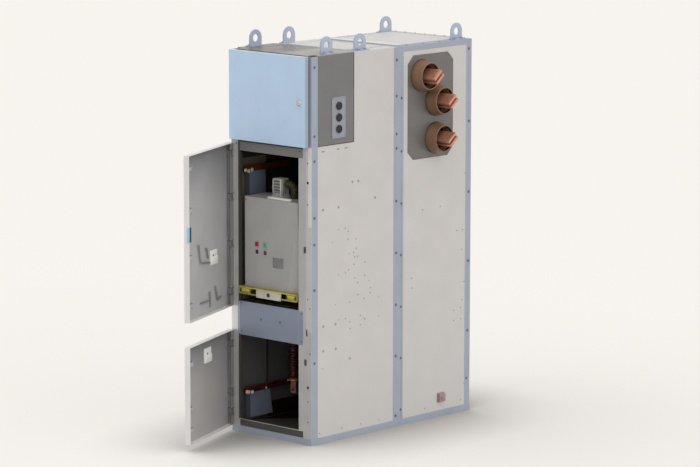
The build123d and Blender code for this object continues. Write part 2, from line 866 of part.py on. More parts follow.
with BuildPart() as lower_door:
    add(door_leaf(lower_hinge, door_width, lower_rise, door_depth, lower_hinge_levels, door_lip))
lower_door.part.label = "lower_door"
export_step(lower_door.part, "parts/lower_door.step")

with BuildPart() as lv_door:
    add(door_leaf(lv_hinge, lv_door_width, lv_rise, lv_door_depth, lv_hinge_levels, door_sheet))
lv_door.part.label = "lv_door"
export_step(lv_door.part, "parts/lv_door.step")

# Round quarter-turn lock of the low-voltage door
with BuildPart() as lv_door_lock:
    with BuildSketch(leaf_plane(lv_hinge, -lv_door_depth)):
        with Locations((lv_lock_across + lv_door_width / 2, lv_lock_level - lv_bottom)):
            Circle(lv_lock_diameter / 2)
    extrude(amount=lv_lock_height)
lv_door_lock.part.label = "lv_door_lock"
export_step(lv_door_lock.part, "parts/lv_door_lock.step")


def hinge_blocks(hinge, levels, thick):
    """Hinge knuckles on the inside of a leaf, bored for the pins."""
    with BuildPart(mode=Mode.PRIVATE) as blocks:
        for level in levels:
            with BuildSketch(hinge.offset(level - hinge.origin.Z - hinge_block_height / 2)):
                outer_face = hinge_inset - thick + door_sheet
                with Locations((-hinge_inset + door_sheet + 1, outer_face)):
                    Rectangle(hinge_block_width, hinge_pin / 2 + 4 - outer_face, align=(Align.MIN, Align.MIN))
                Circle(hinge_pin / 2 + seat, mode=Mode.SUBTRACT)
            extrude(amount=hinge_block_height)
    return blocks.part


def hinge_lugs(span, levels, wall):
    """Lugs on the frame at wall, a pair for each knuckle, joined by the hinge pin."""
    axis_x = hinge_inset - span / 2
    axis_y = front - door_gap - hinge_inset
    with BuildPart(mode=Mode.PRIVATE) as lugs:
        for level in levels:
            for face in (-hinge_block_height / 2 - seat - hinge_lug, hinge_block_height / 2 + seat):
                with BuildSketch(Plane.XY.offset(level + face)):
                    with Locations((axis_x, (axis_y + wall) / 2)):
                        Rectangle(hinge_lug_width, wall - axis_y)
                    with Locations((axis_x, axis_y)):
                        Circle(hinge_lug_width / 2)
                extrude(amount=hinge_lug)
            with BuildSketch(Plane.XY.offset(level - hinge_block_height / 2 - seat)):
                with Locations((axis_x, axis_y)):
                    Circle(hinge_pin / 2)
            extrude(amount=hinge_block_height + 2 * seat)
    return lugs.part


with BuildPart() as hinge_brackets:
    add(hinge_lugs(door_width, upper_hinge_levels, front))
    add(hinge_lugs(door_width, lower_hinge_levels, front))
    add(hinge_lugs(lv_door_width, lv_hinge_levels, front + sheet))
hinge_brackets.part.label = "hinge_brackets"
export_step(hinge_brackets.part, "parts/hinge_brackets.step")


def latch_lugs(hinge, span, levels):
    """Latch lugs inside the free edge of a door."""
    with BuildPart(mode=Mode.PRIVATE) as lugs:
        for level in levels:
            with BuildSketch(leaf_plane(hinge, -door_depth + door_sheet)):
                with Locations((span - lug_inset, level - hinge.origin.Z)):
                    Rectangle(lug_width, lug_height)
            extrude(amount=-(door_depth - door_sheet - 2))
    return lugs.part


with BuildPart() as upper_door_hardware:
    add(hinge_blocks(upper_hinge, upper_hinge_levels, door_depth))
    add(latch_lugs(upper_hinge, door_width, upper_lug_levels))
upper_door_hardware.part.label = "upper_door_hardware"
export_step(upper_door_hardware.part, "parts/upper_door_hardware.step")

# Handle on the free edge of the upper door
with BuildPart() as door_handle:
    with BuildSketch(leaf_plane(upper_hinge, 0)):
        with Locations((door_width + handle_stand / 2, handle_level - upper_door_bottom)):
            Rectangle(handle_stand, handle_height)
    extrude(amount=handle_depth)
door_handle.part.label = "door_handle"
export_step(door_handle.part, "parts/door_handle.step")

# Interlock levers on the inside of the upper door, each with a stud at either end
with BuildPart() as upper_door_levers:
    inner_face = -door_depth + door_sheet
    for path in lever_paths:
        points = [(across, level - upper_door_bottom) for across, level in path]
        with BuildSketch(leaf_plane(upper_hinge, inner_face + lever_stand + lever_thickness)):
            with BuildLine():
                Polyline(*points)
                offset(amount=lever_width / 2)
            make_face()
        extrude(amount=lever_thickness)
        with BuildSketch(leaf_plane(upper_hinge, inner_face)):
            with Locations(points[0], points[-1]):
                Circle(lever_width / 2)
        extrude(amount=-lever_stand)
upper_door_levers.part.label = "upper_door_levers"
export_step(upper_door_levers.part, "parts/upper_door_levers.step")

with BuildPart() as lower_door_hardware:
    add(hinge_blocks(lower_hinge, lower_hinge_levels, door_depth))
    add(latch_lugs(lower_hinge, door_width, lower_lug_levels))
lower_door_hardware.part.label = "lower_door_hardware"
export_step(lower_door_hardware.part, "parts/lower_door_hardware.step")

with BuildPart() as lv_door_hinges:
    add(hinge_blocks(lv_hinge, lv_hinge_levels, lv_door_depth))
lv_door_hinges.part.label = "lv_door_hinges"
export_step(lv_door_hinges.part, "parts/lv_door_hinges.step")


def document_pocket(hinge, across, level):
    """Thin document pocket on the inside of a door."""
    with BuildPart(mode=Mode.PRIVATE) as pocket:
        with BuildSketch(leaf_plane(hinge, -door_depth + door_sheet)):
            with Locations((across, level - hinge.origin.Z)):
                Rectangle(pocket_width, pocket_height)
        extrude(amount=-pocket_depth)
    return pocket.part


with BuildPart() as upper_door_pocket:
    add(document_pocket(upper_hinge, upper_pocket_across, upper_pocket_level))
upper_door_pocket.part.label = "upper_door_pocket"
export_step(upper_door_pocket.part, "parts/upper_door_pocket.step")

with BuildPart() as lower_door_pocket:
    add(document_pocket(lower_hinge, lower_pocket_across, lower_pocket_level))
lower_door_pocket.part.label = "lower_door_pocket"
export_step(lower_door_pocket.part, "parts/lower_door_pocket.step")

# Breaker truck, in the test position: base, wheels, breaker body, cover and plug
truck_face = depth_at(truck_setback)
truck_bottom = truck_top - truck_height
plate_across = cell_centre + truck_plate_across
axle_level = shelf_level + seat + wheel_diameter / 2
with BuildPart() as truck_base:
    with BuildSketch(Plane.XY.offset(truck_bottom)):
        with Locations((cell_centre, truck_face + truck_depth / 2)):
            Rectangle(truck_width, truck_depth)
    extrude(amount=truck_height)
    with BuildSketch(Plane.XY.offset(truck_bottom)):
        with Locations((cell_centre, truck_face + truck_depth / 2)):
            Rectangle(truck_width - 2 * truck_sheet, truck_depth - 2 * truck_sheet)
    extrude(amount=truck_height - truck_sheet, mode=Mode.SUBTRACT)
    with BuildSketch(Plane.XZ.offset(-truck_face)):
        with Locations((plate_across, truck_bottom + truck_height / 2)):
            with GridLocations(truck_plate_width + recess_width + 2 * recess_gap, 0, 2, 1):
                Rectangle(recess_width, recess_height)
    extrude(amount=-truck_sheet, mode=Mode.SUBTRACT)
    for hand in (-1, 1):
        for along in (wheel_inset, truck_depth - wheel_inset):
            outer = cell_centre + hand * truck_width / 2
            with BuildSketch(Plane.YZ.offset(outer)):
                with Locations((truck_face + along, (truck_bottom + axle_level) / 2)):
                    Rectangle(wheel_diameter / 2, truck_bottom - axle_level)
                with Locations((truck_face + along, axle_level)):
                    Circle(wheel_diameter / 4)
            extrude(amount=-hand * truck_sheet)
            with BuildSketch(Plane.YZ.offset(outer)):
                with Locations((truck_face + along, axle_level)):
                    Circle(axle_diameter / 2)
            extrude(amount=-hand * (truck_sheet + wheel_width + 2 * seat))
truck_base.part.label = "truck_base"
export_step(truck_base.part, "parts/truck_base.step")

with BuildPart() as truck_plate:
    with BuildSketch(Plane.XZ.offset(-truck_face)):
        with Locations((plate_across, truck_plate_level)):
            Rectangle(truck_plate_width, truck_plate_height)
            Circle(crank_hole / 2, mode=Mode.SUBTRACT)
    extrude(amount=truck_plate_sheet)
truck_plate.part.label = "truck_plate"
export_step(truck_plate.part, "parts/truck_plate.step")

with BuildPart() as truck_wheels:
    for hand in (-1, 1):
        for along in (wheel_inset, truck_depth - wheel_inset):
            wheel_centre = cell_centre + hand * (truck_width / 2 - truck_sheet - seat - wheel_width / 2)
            with BuildSketch(Plane.YZ.offset(wheel_centre - wheel_width / 2)):
                with Locations((truck_face + along, axle_level)):
                    Circle(wheel_diameter / 2)
                    Circle(axle_diameter / 2 + seat / 2, mode=Mode.SUBTRACT)
            extrude(amount=wheel_width)
truck_wheels.part.label = "truck_wheels"
export_step(truck_wheels.part, "parts/truck_wheels.step")

# Moulded cover: its lower right corner is bevelled back along a slanting edge
cover_face = depth_at(cover_setback)
cover_right = cell_centre + cover_width / 2
facet_edge = Vector(-facet_width, 0, truck_top - facet_top)
facet_side = Vector(0, facet_depth, truck_top - facet_top)
facet_normal = facet_edge.cross(facet_side)
facet = Plane(origin=(cover_right, cover_face, facet_top), x_dir=facet_edge, z_dir=facet_normal)
with BuildPart() as breaker_cover:
    with BuildSketch(Plane.XY.offset(truck_top)):
        with Locations((cell_centre, cover_face + cover_depth / 2)):
            Rectangle(cover_width, cover_depth)
    extrude(amount=cover_top - truck_top)
    left_edge = breaker_cover.edges().filter_by(Axis.Z).sort_by(Axis.Y)[:2].sort_by(Axis.X)[:1]
    fillet(left_edge, cover_radius)
    split(bisect_by=facet, keep=Keep.BOTTOM)
    offset(amount=-cover_sheet, openings=breaker_cover.faces().sort_by(Axis.Y)[-1:])
breaker_cover.part.label = "breaker_cover"
export_step(breaker_cover.part, "parts/breaker_cover.step")


def on_cover(across, level, span, rise, stand):
    """Small block on the front of the breaker cover."""
    with BuildPart(mode=Mode.PRIVATE) as block:
        with BuildSketch(Plane.XZ.offset(-cover_face)):
            with Locations((cell_centre + across, level)):
                Rectangle(span, rise)
        extrude(amount=stand)
    return block.part


with BuildPart() as open_button:
    add(on_cover(control_columns[0], button_level, button_size, button_size, button_stand))
open_button.part.label = "open_button"
export_step(open_button.part, "parts/open_button.step")

with BuildPart() as close_button:
    add(on_cover(control_columns[1], button_level, button_size, button_size, button_stand))
close_button.part.label = "close_button"
export_step(close_button.part, "parts/close_button.step")

with BuildPart() as state_windows:
    for column in control_columns:
        add(on_cover(column, window_level, window_size, window_size, window_stand))
state_windows.part.label = "state_windows"
export_step(state_windows.part, "parts/state_windows.step")

# Grip bar on top of the cover
grip_y = cover_face + grip_setback + grip_depth / 2
with BuildPart() as cover_grip:
    with Locations((cell_centre + grip_across, grip_y, cover_top + grip_height / 2)):
        Box(grip_width, grip_depth, grip_height)
cover_grip.part.label = "cover_grip"
export_step(cover_grip.part, "parts/cover_grip.step")

# Poles of the breaker behind the cover, with arms towards the contact spouts
pole_y = cover_face + cover_depth + pole_gap + pole_diameter / 2
with BuildPart() as breaker_poles:
    for phase in (-1, 0, 1):
        with BuildSketch(Plane.XY.offset(truck_top)):
            with Locations((cell_centre + phase * pole_pitch, pole_y)):
                Circle(pole_diameter / 2)
        extrude(amount=pole_top - truck_top)
breaker_poles.part.label = "breaker_poles"
export_step(breaker_poles.part, "parts/breaker_poles.step")

arm_start = pole_y + pole_diameter / 2
arm_tip = arm_start + arm_length
arm_steps = [(arm_start + seat, arm_diameter / 2), (arm_tip - tulip_length, tulip_diameter / 2)]
with BuildPart() as contact_arms:
    for across, level in spout_places:
        for start, radius in arm_steps:
            with BuildSketch(Plane.XZ.offset(-start)):
                with Locations((across, level)):
                    Circle(radius)
            extrude(amount=start - arm_tip)
contact_arms.part.label = "contact_arms"
export_step(contact_arms.part, "parts/contact_arms.step")

# Control plug on the cover, fed by a short hose that rises from the cover and bends into its side
plug_centre = cell_centre + plug_across
plug_y = cover_face + plug_setback + plug_depth / 2
with BuildPart() as control_plug:
    with Locations((plug_centre, plug_y, cover_top + plug_height / 2)):
        Box(plug_width, plug_depth, plug_height)
control_plug.part.label = "control_plug"
export_step(control_plug.part, "parts/control_plug.step")

hose_foot = cell_centre + hose_across
hose_top = cover_top + hose_rise + hose_bend
with BuildPart() as plug_harness:
    with BuildLine():
        rise_line = Line((hose_foot, plug_y, cover_top), (hose_foot, plug_y, cover_top + hose_rise))
        bend_line = TangentArc(rise_line @ 1, (hose_foot - hose_bend, plug_y, hose_top), tangent=(0, 0, 1))
        Line(bend_line @ 1, (plug_centre + plug_width / 2, plug_y, hose_top))
    with BuildSketch(Plane(origin=(hose_foot, plug_y, cover_top), z_dir=(0, 0, 1))):
        Circle(hose_diameter / 2)
    sweep()
plug_harness.part.label = "plug_harness"
export_step(plug_harness.part, "parts/plug_harness.step")

# Spouts on the partition: resin cups that take the contact arms
with BuildPart() as contact_spouts:
    for across, level in spout_places:
        with BuildSketch(Plane.XY.offset(level)):
            with BuildLine():
                Polyline(
                    (across + spout_bore / 2 - spout_wall, cell_back - spout_reach),
                    (across + spout_bore / 2, cell_back - spout_reach),
                    (across + spout_base / 2, cell_back - spout_flange),
                    (across + spout_base / 2, cell_back - seat),
                    (across + spout_bore / 2 - seat, cell_back - seat),
                    (across + spout_bore / 2 - seat, cell_back + spout_tail),
                    (across + spout_bore / 2 - spout_wall, cell_back + spout_tail),
                    close=True,
                )
            make_face()
        revolve(axis=Axis((across, 0, level), (0, 1, 0)))
contact_spouts.part.label = "contact_spouts"
export_step(contact_spouts.part, "parts/contact_spouts.step")


# Left wall of both compartments: folded brackets that carry copper earth bars
def wall_bracket(start, stop, toe, bottom, top):
    """Folded bracket on the left wall, its rear edge slanting out by toe towards the foot."""
    with BuildPart(mode=Mode.PRIVATE) as bracket:
        with BuildSketch(Plane.YZ.offset(-inner_side)):
            with BuildLine():
                Polyline(
                    (depth_at(start), bottom),
                    (depth_at(stop + toe), bottom),
                    (depth_at(stop), top),
                    (depth_at(start), top),
                    close=True,
                )
            make_face()
        extrude(amount=bracket_stand)
        with BuildSketch(Plane.YZ.offset(-inner_side)):
            with Locations((depth_at((start + stop) / 2), (bottom + top) / 2)):
                Rectangle(stop - start - 2 * sheet, 2 * height)
        extrude(amount=bracket_stand - sheet, mode=Mode.SUBTRACT)
    return bracket.part


def earth_bar(start, stop, level):
    """Flat copper bar along a bracket."""
    with BuildPart(mode=Mode.PRIVATE) as bar:
        with BuildSketch(Plane.YZ.offset(-inner_side + bracket_stand)):
            with Locations((depth_at((start + stop) / 2), level)):
                Rectangle(stop - start, earth_bar_height)
        extrude(amount=earth_bar_sheet)
    return bar.part


lower_bracket_run = (lower_bracket_start, lower_bracket_stop)
upper_bracket_run = (upper_bracket_start, upper_bracket_stop)
lower_bracket_top = lower_bar_level + earth_bar_height / 2
upper_bracket_top = upper_bar_level + earth_bar_height / 2
with BuildPart() as wall_brackets:
    add(wall_bracket(*lower_bracket_run, lower_bracket_toe, lower_bracket_foot, lower_bracket_top))
    add(wall_bracket(*upper_bracket_run, 0, upper_bracket_foot, upper_bracket_top))
wall_brackets.part.label = "wall_brackets"
export_step(wall_brackets.part, "parts/wall_brackets.step")

with BuildPart() as earth_bars:
    add(earth_bar(lower_bar_start, lower_bar_stop, lower_bar_level))
    add(earth_bar(upper_bar_start, upper_bar_stop, upper_bar_level))
earth_bars.part.label = "earth_bars"
export_step(earth_bars.part, "parts/earth_bars.step")

# Cable terminations: resin columns under the shelf, a copper lug bar at the foot of each
column_places = [(cell_centre + phase * pole_pitch, depth_at(column_depth)) for phase in (-1, 0, 1)]
with BuildPart() as cable_insulators:
    with BuildSketch(Plane.XY.offset(column_foot)):
        with Locations(*column_places):
            Circle(column_diameter / 2)
    extrude(amount=shelf_level - sheet - column_foot)
cable_insulators.part.label = "cable_insulators"
export_step(cable_insulators.part, "parts/cable_insulators.step")

with BuildPart() as cable_lugs:
    for across, along in column_places:
        with BuildSketch(Plane.XZ.offset(-along)):
            with Locations((across, column_foot - lug_bar_length / 2)):
                Rectangle(lug_bar_width, lug_bar_length)
            with Locations((across, column_foot - lug_bar_length + lug_bar_width / 2)):
                Circle(lug_bar_hole / 2, mode=Mode.SUBTRACT)
        extrude(amount=lug_bar_sheet)
cable_lugs.part.label = "cable_lugs"
export_step(cable_lugs.part, "parts/cable_lugs.step")
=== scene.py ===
import bpy
import json
import math
import numpy as np
from mathutils import Matrix, Vector


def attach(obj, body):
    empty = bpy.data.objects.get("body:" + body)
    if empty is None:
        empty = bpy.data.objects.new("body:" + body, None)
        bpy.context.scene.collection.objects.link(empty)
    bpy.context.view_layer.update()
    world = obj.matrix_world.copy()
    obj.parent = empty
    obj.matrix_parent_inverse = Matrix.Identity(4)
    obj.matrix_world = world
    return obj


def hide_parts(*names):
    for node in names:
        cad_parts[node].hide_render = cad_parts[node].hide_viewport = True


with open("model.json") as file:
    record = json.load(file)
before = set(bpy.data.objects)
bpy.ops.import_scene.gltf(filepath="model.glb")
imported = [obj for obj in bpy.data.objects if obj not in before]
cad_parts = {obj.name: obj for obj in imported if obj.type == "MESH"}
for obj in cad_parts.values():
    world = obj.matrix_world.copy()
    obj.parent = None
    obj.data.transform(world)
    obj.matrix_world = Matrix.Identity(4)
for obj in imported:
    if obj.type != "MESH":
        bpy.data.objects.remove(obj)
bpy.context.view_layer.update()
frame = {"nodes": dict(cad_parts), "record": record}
print("frame loaded:", len(frame["nodes"]), "nodes")

# Places are in millimetres: across = x, depth = distance behind the front plane, level = height.
frontPlane = -710.0
leafShape = {  # the two open doors are trays of one section
    "open": 69,  # degrees at rest
    "pin": (-310.0, -727.0, 0.0),
    "pinInset": 10,  # from the pin to the hinge edge, and to the inner rim
    "length": 640,
    "wall": 2.1,
    "lip": (0.8, 45.5),  # return lip, measured from the hinge edge
    "sheet": (31, 33),  # the sheet's inner face lies between these, behind the rim
}
doorTurn = math.radians(leafShape["open"])
leafAlong = np.array([math.cos(doorTurn), -math.sin(doorTurn), 0.0])
leafInward = np.array([math.sin(doorTurn), math.cos(doorTurn), 0.0])
leafRim = np.array(leafShape["pin"]) + leafShape["pinInset"] * (leafInward - leafAlong)  # hinge edge, at the inner rim

# camera, floor and light
cameraView = {
    "place": (14.3564, -15.6031, 4.6013),
    "ahead": (-0.66886, 0.72579, -0.16080),
    "roll": 0.087,
    "lens": 183.13,
    "sensor": 36.0,
    "clip": (1.0, 300.0),
}


def aimCamera(view):
    # the camera's own axes: right is ahead x up, turned by the roll about the view line
    ahead = Vector(view["ahead"]).normalized()
    right = ahead.cross(Vector((0, 0, 1))).normalized()
    over = right.cross(ahead)
    roll = math.radians(view["roll"])
    right, over = right * math.cos(roll) + over * math.sin(roll), over * math.cos(roll) - right * math.sin(roll)
    lens = bpy.data.cameras.new("viewCamera")
    lens.lens = view["lens"]
    lens.sensor_width = view["sensor"]
    lens.clip_start, lens.clip_end = view["clip"]
    camera = bpy.data.objects.new("viewCamera", lens)
    turn = Matrix((right, over, -ahead)).transposed().to_4x4()
    camera.matrix_world = Matrix.Translation(view["place"]) @ turn
    bpy.context.scene.collection.objects.link(camera)
    bpy.context.scene.camera = camera


aimCamera(cameraView)
bpy.context.scene.view_settings.view_transform = "Standard"


def shade(red, green, blue):
    # screen colour from 0 to 255 turned into linear light
    values = np.array([red, green, blue]) / 255
    linear = np.where(values <= 0.04045, values / 12.92, ((values + 0.055) / 1.055) ** 2.4)
    return (*linear.tolist(), 1.0)


studio = {
    "ambient": 0.56,
    "tilt": 0.42,  # how much brighter the brightest side of the sky is
    "tiltFrom": (0.86, -0.12, 0.5),
    "skyTint": (1, 0.995, 0.99, 1),
    "sun": 1.15,
    "sunSpread": 95,
    "sunFrom": (0.55, -0.12, 0.82),
    "ground": shade(247, 244, 239),
    "floorReach": 120.0,
    "floorSeen": shade(247, 244, 239),
    "floorBounce": (0.74, 0.735, 0.725, 1),
    "floorSun": 1.36,
    "floorSunSpread": 86,
    "floorSunFrom": (-0.4, -0.48, 0.95),
    # painted shadow: near the plinth the floor's seen colour is darkened by ambient occlusion
    "contactReach": 0.7,  # metres over which the floor darkens towards the plinth
    "contactShade": 0.56,
}


def addNode(tree, kind, inputs, output=0, **settings):
    # a node with its settings; each input is given a value, or linked where the value is another node's output
    node = tree.nodes.new("ShaderNode" + kind)
    for key, value in settings.items():
        setattr(node, key, value)
    for key, value in inputs.items():
        if isinstance(value, bpy.types.NodeSocket):
            tree.links.new(value, node.inputs[key])
        else:
            node.inputs[key].default_value = value
    return node.outputs[output] if node.outputs else node


def mapRange(tree, source, seen, given):
    # the source's way between the two seen values, laid over the two given ones
    limits = {"From Min": seen[0], "From Max": seen[1], "To Min": given[0], "To Max": given[1]}
    return addNode(tree, "MapRange", {"Value": source, **limits})


def mixByRays(tree, lighting, seen):
    # what is seen by the camera, in a reflection or through glass, and what only gives light
    rays = tree.nodes.new("ShaderNodeLightPath").outputs
    share = rays["Is Camera Ray"]
    for kind in ("Is Glossy Ray", "Is Transmission Ray"):
        share = addNode(tree, "Math", {0: share, 1: rays[kind]}, operation="MAXIMUM")
    return addNode(tree, "MixShader", {0: share, 1: lighting, 2: seen})


def lightStudio(values):
    # sky brightness = ambient x (1 + tilt x cosine to the bright side), and two wide suns
    world = bpy.data.worlds.new("studioWorld")
    world.use_nodes = True
    tree = world.node_tree
    tree.nodes.clear()
    bright = {0: addNode(tree, "TexCoord", {}, "Generated"), 1: Vector(values["tiltFrom"]).normalized()}
    toward = addNode(tree, "VectorMath", bright, "Value", operation="DOT_PRODUCT")
    levels = [values["ambient"] * (1 + side * values["tilt"]) for side in (-1, 1)]
    strength = mapRange(tree, toward, (-1, 1), levels)
    soft = addNode(tree, "Background", {"Color": values["skyTint"], "Strength": strength})
    seen = addNode(tree, "Background", {"Color": values["ground"]})
    addNode(tree, "OutputWorld", {0: mixByRays(tree, soft, seen)})
    bpy.context.scene.world = world
    suns = []
    for name, key in (("objectSun", "sun"), ("floorSun", "floorSun")):
        lamp = bpy.data.lights.new(name, "SUN")
        lamp.energy = values[key]
        lamp.angle = math.radians(values[key + "Spread"])
        sun = bpy.data.objects.new(name, lamp)
        sun.rotation_mode = "QUATERNION"
        sun.rotation_quaternion = Vector(values[key + "From"]).to_track_quat("Z", "Y")
        bpy.context.scene.collection.objects.link(sun)
        suns.append(sun)
    return suns


def layFloor(values):
    # a wide plane under the plinth; it is seen paler than it lights the cubicle
    reach = values["floorReach"]
    sheet = bpy.data.meshes.new("studioFloor")
    corners = [(-reach, -reach, 0), (reach, -reach, 0), (reach, reach, 0), (-reach, reach, 0)]
    sheet.from_pydata(corners, [], [(0, 1, 2, 3)])
    floor = bpy.data.objects.new("studioFloor", sheet)
    bpy.context.scene.collection.objects.link(floor)
    finish = bpy.data.materials.new("paleFloor")
    finish.use_nodes = True
    tree = finish.node_tree
    tree.nodes.clear()
    # painted shadow: ambient occlusion darkens the floor's seen colour near the plinth
    near = addNode(tree, "AmbientOcclusion", {"Distance": values["contactReach"]}, "AO", samples=8)
    depth = mapRange(tree, near, (0.5, 1), (values["contactShade"], 1))
    tint = addNode(tree, "VectorMath", {0: values["floorSeen"][:3], "Scale": depth}, operation="SCALE")
    seen = addNode(tree, "BsdfDiffuse", {"Color": tint})
    bounce = addNode(tree, "BsdfDiffuse", {"Color": values["floorBounce"]})
    addNode(tree, "OutputMaterial", {0: mixByRays(tree, bounce, seen)})
    sheet.materials.append(finish)
    return floor


def shareLight(suns, floor):
    # the first sun lights all but the floor, the second the floor alone, so the shadow lies evenly round the plinth
    for sun, state in zip(suns, ("EXCLUDE", "INCLUDE")):
        group = bpy.data.collections.new(sun.name + "Receivers")
        group.objects.link(floor)
        group.collection_objects[0].light_linking.link_state = state
        sun.light_linking.receiver_collection = group


shareLight(lightStudio(studio), layFloor(studio))
print("camera, light and floor set")

# zones: planes that bound where a finish changes its colour, each a direction and a limit in metres
anywhere = (None, None)


def between(direction, low, high, origin=(0, 0, 0)):
    # the two planes low and high millimetres from the origin along the direction, and none for a limit of None
    direction = np.array(direction, float)
    start = float(direction @ np.array(origin, float))
    ahead = [] if high is None else [(tuple(direction), (start + high) / 1000)]
    return ahead + ([] if low is None else [(tuple(-direction), -(start + low) / 1000)])


def boxZone(across=anywhere, depth=anywhere, level=anywhere):
    # an upright box, open where a limit is None
    origin = (0, frontPlane, 0)
    return [plane for way, limits in zip(np.eye(3), (across, depth, level)) for plane in between(way, *limits, origin)]


def leafLevels(bottom, top):
    # between the tray's lower and upper wall
    return between((0, 0, 1), bottom + leafShape["wall"], top - leafShape["wall"])


def leafInside(bottom, top):
    # the inner face of an open door's sheet
    wall, length = leafShape["wall"], leafShape["length"]
    sheet = between(-leafInward, *leafShape["sheet"], leafRim)
    return between(leafAlong, wall, length - wall, leafRim) + sheet + leafLevels(bottom, top)


def hingeLip(bottom, top):
    # the return lip on the hinge side of the tray
    shallow = between(-leafInward, None, leafShape["sheet"][0], leafRim)
    return between(leafAlong, *leafShape["lip"], leafRim) + shallow + leafLevels(bottom, top)


# finishes
plainCoat = {
    # painted highlight: folds and corners are painted lighter by this factor
    "edge": 1.2,  # how much lighter folds and corners are
    "patch": 0.08,  # patchiness of the colour
    "rough": 0.5,
    "spread": 0.08,  # how far the roughness swings
    "grain": 1.5,  # size of the grain in mm
    "height": 0.03,  # height of the grain in mm
    "metal": 0.0,
    "gloss": 0.5,
    "spangle": False,  # zinc flowers instead of grain
    "brushed": False,
    # a fade paints shade: the zone's colour darkens towards its deep colour
    "zones": (),  # colour, planes, and for a fade its deep colour and the levels between which it comes in
}
brushedMetal = {"spread": 0.12, "grain": 1.2, "height": 0.02, "brushed": True}
zincFlowers = {"patch": 0.12, "spread": 0.1, "grain": 4, "height": 0.01, "spangle": True}
hardPlastic = {"patch": 0.05, "rough": 0.3, "spread": 0.06, "grain": 0.8, "height": 0.01}


def coat(red, green, blue, kind=None, **changes):
    # a finish: its screen colour, its kind of surface, and what differs from that kind or from the plain coat
    return {"colour": shade(red, green, blue), **plainCoat, **(kind or {}), **changes}


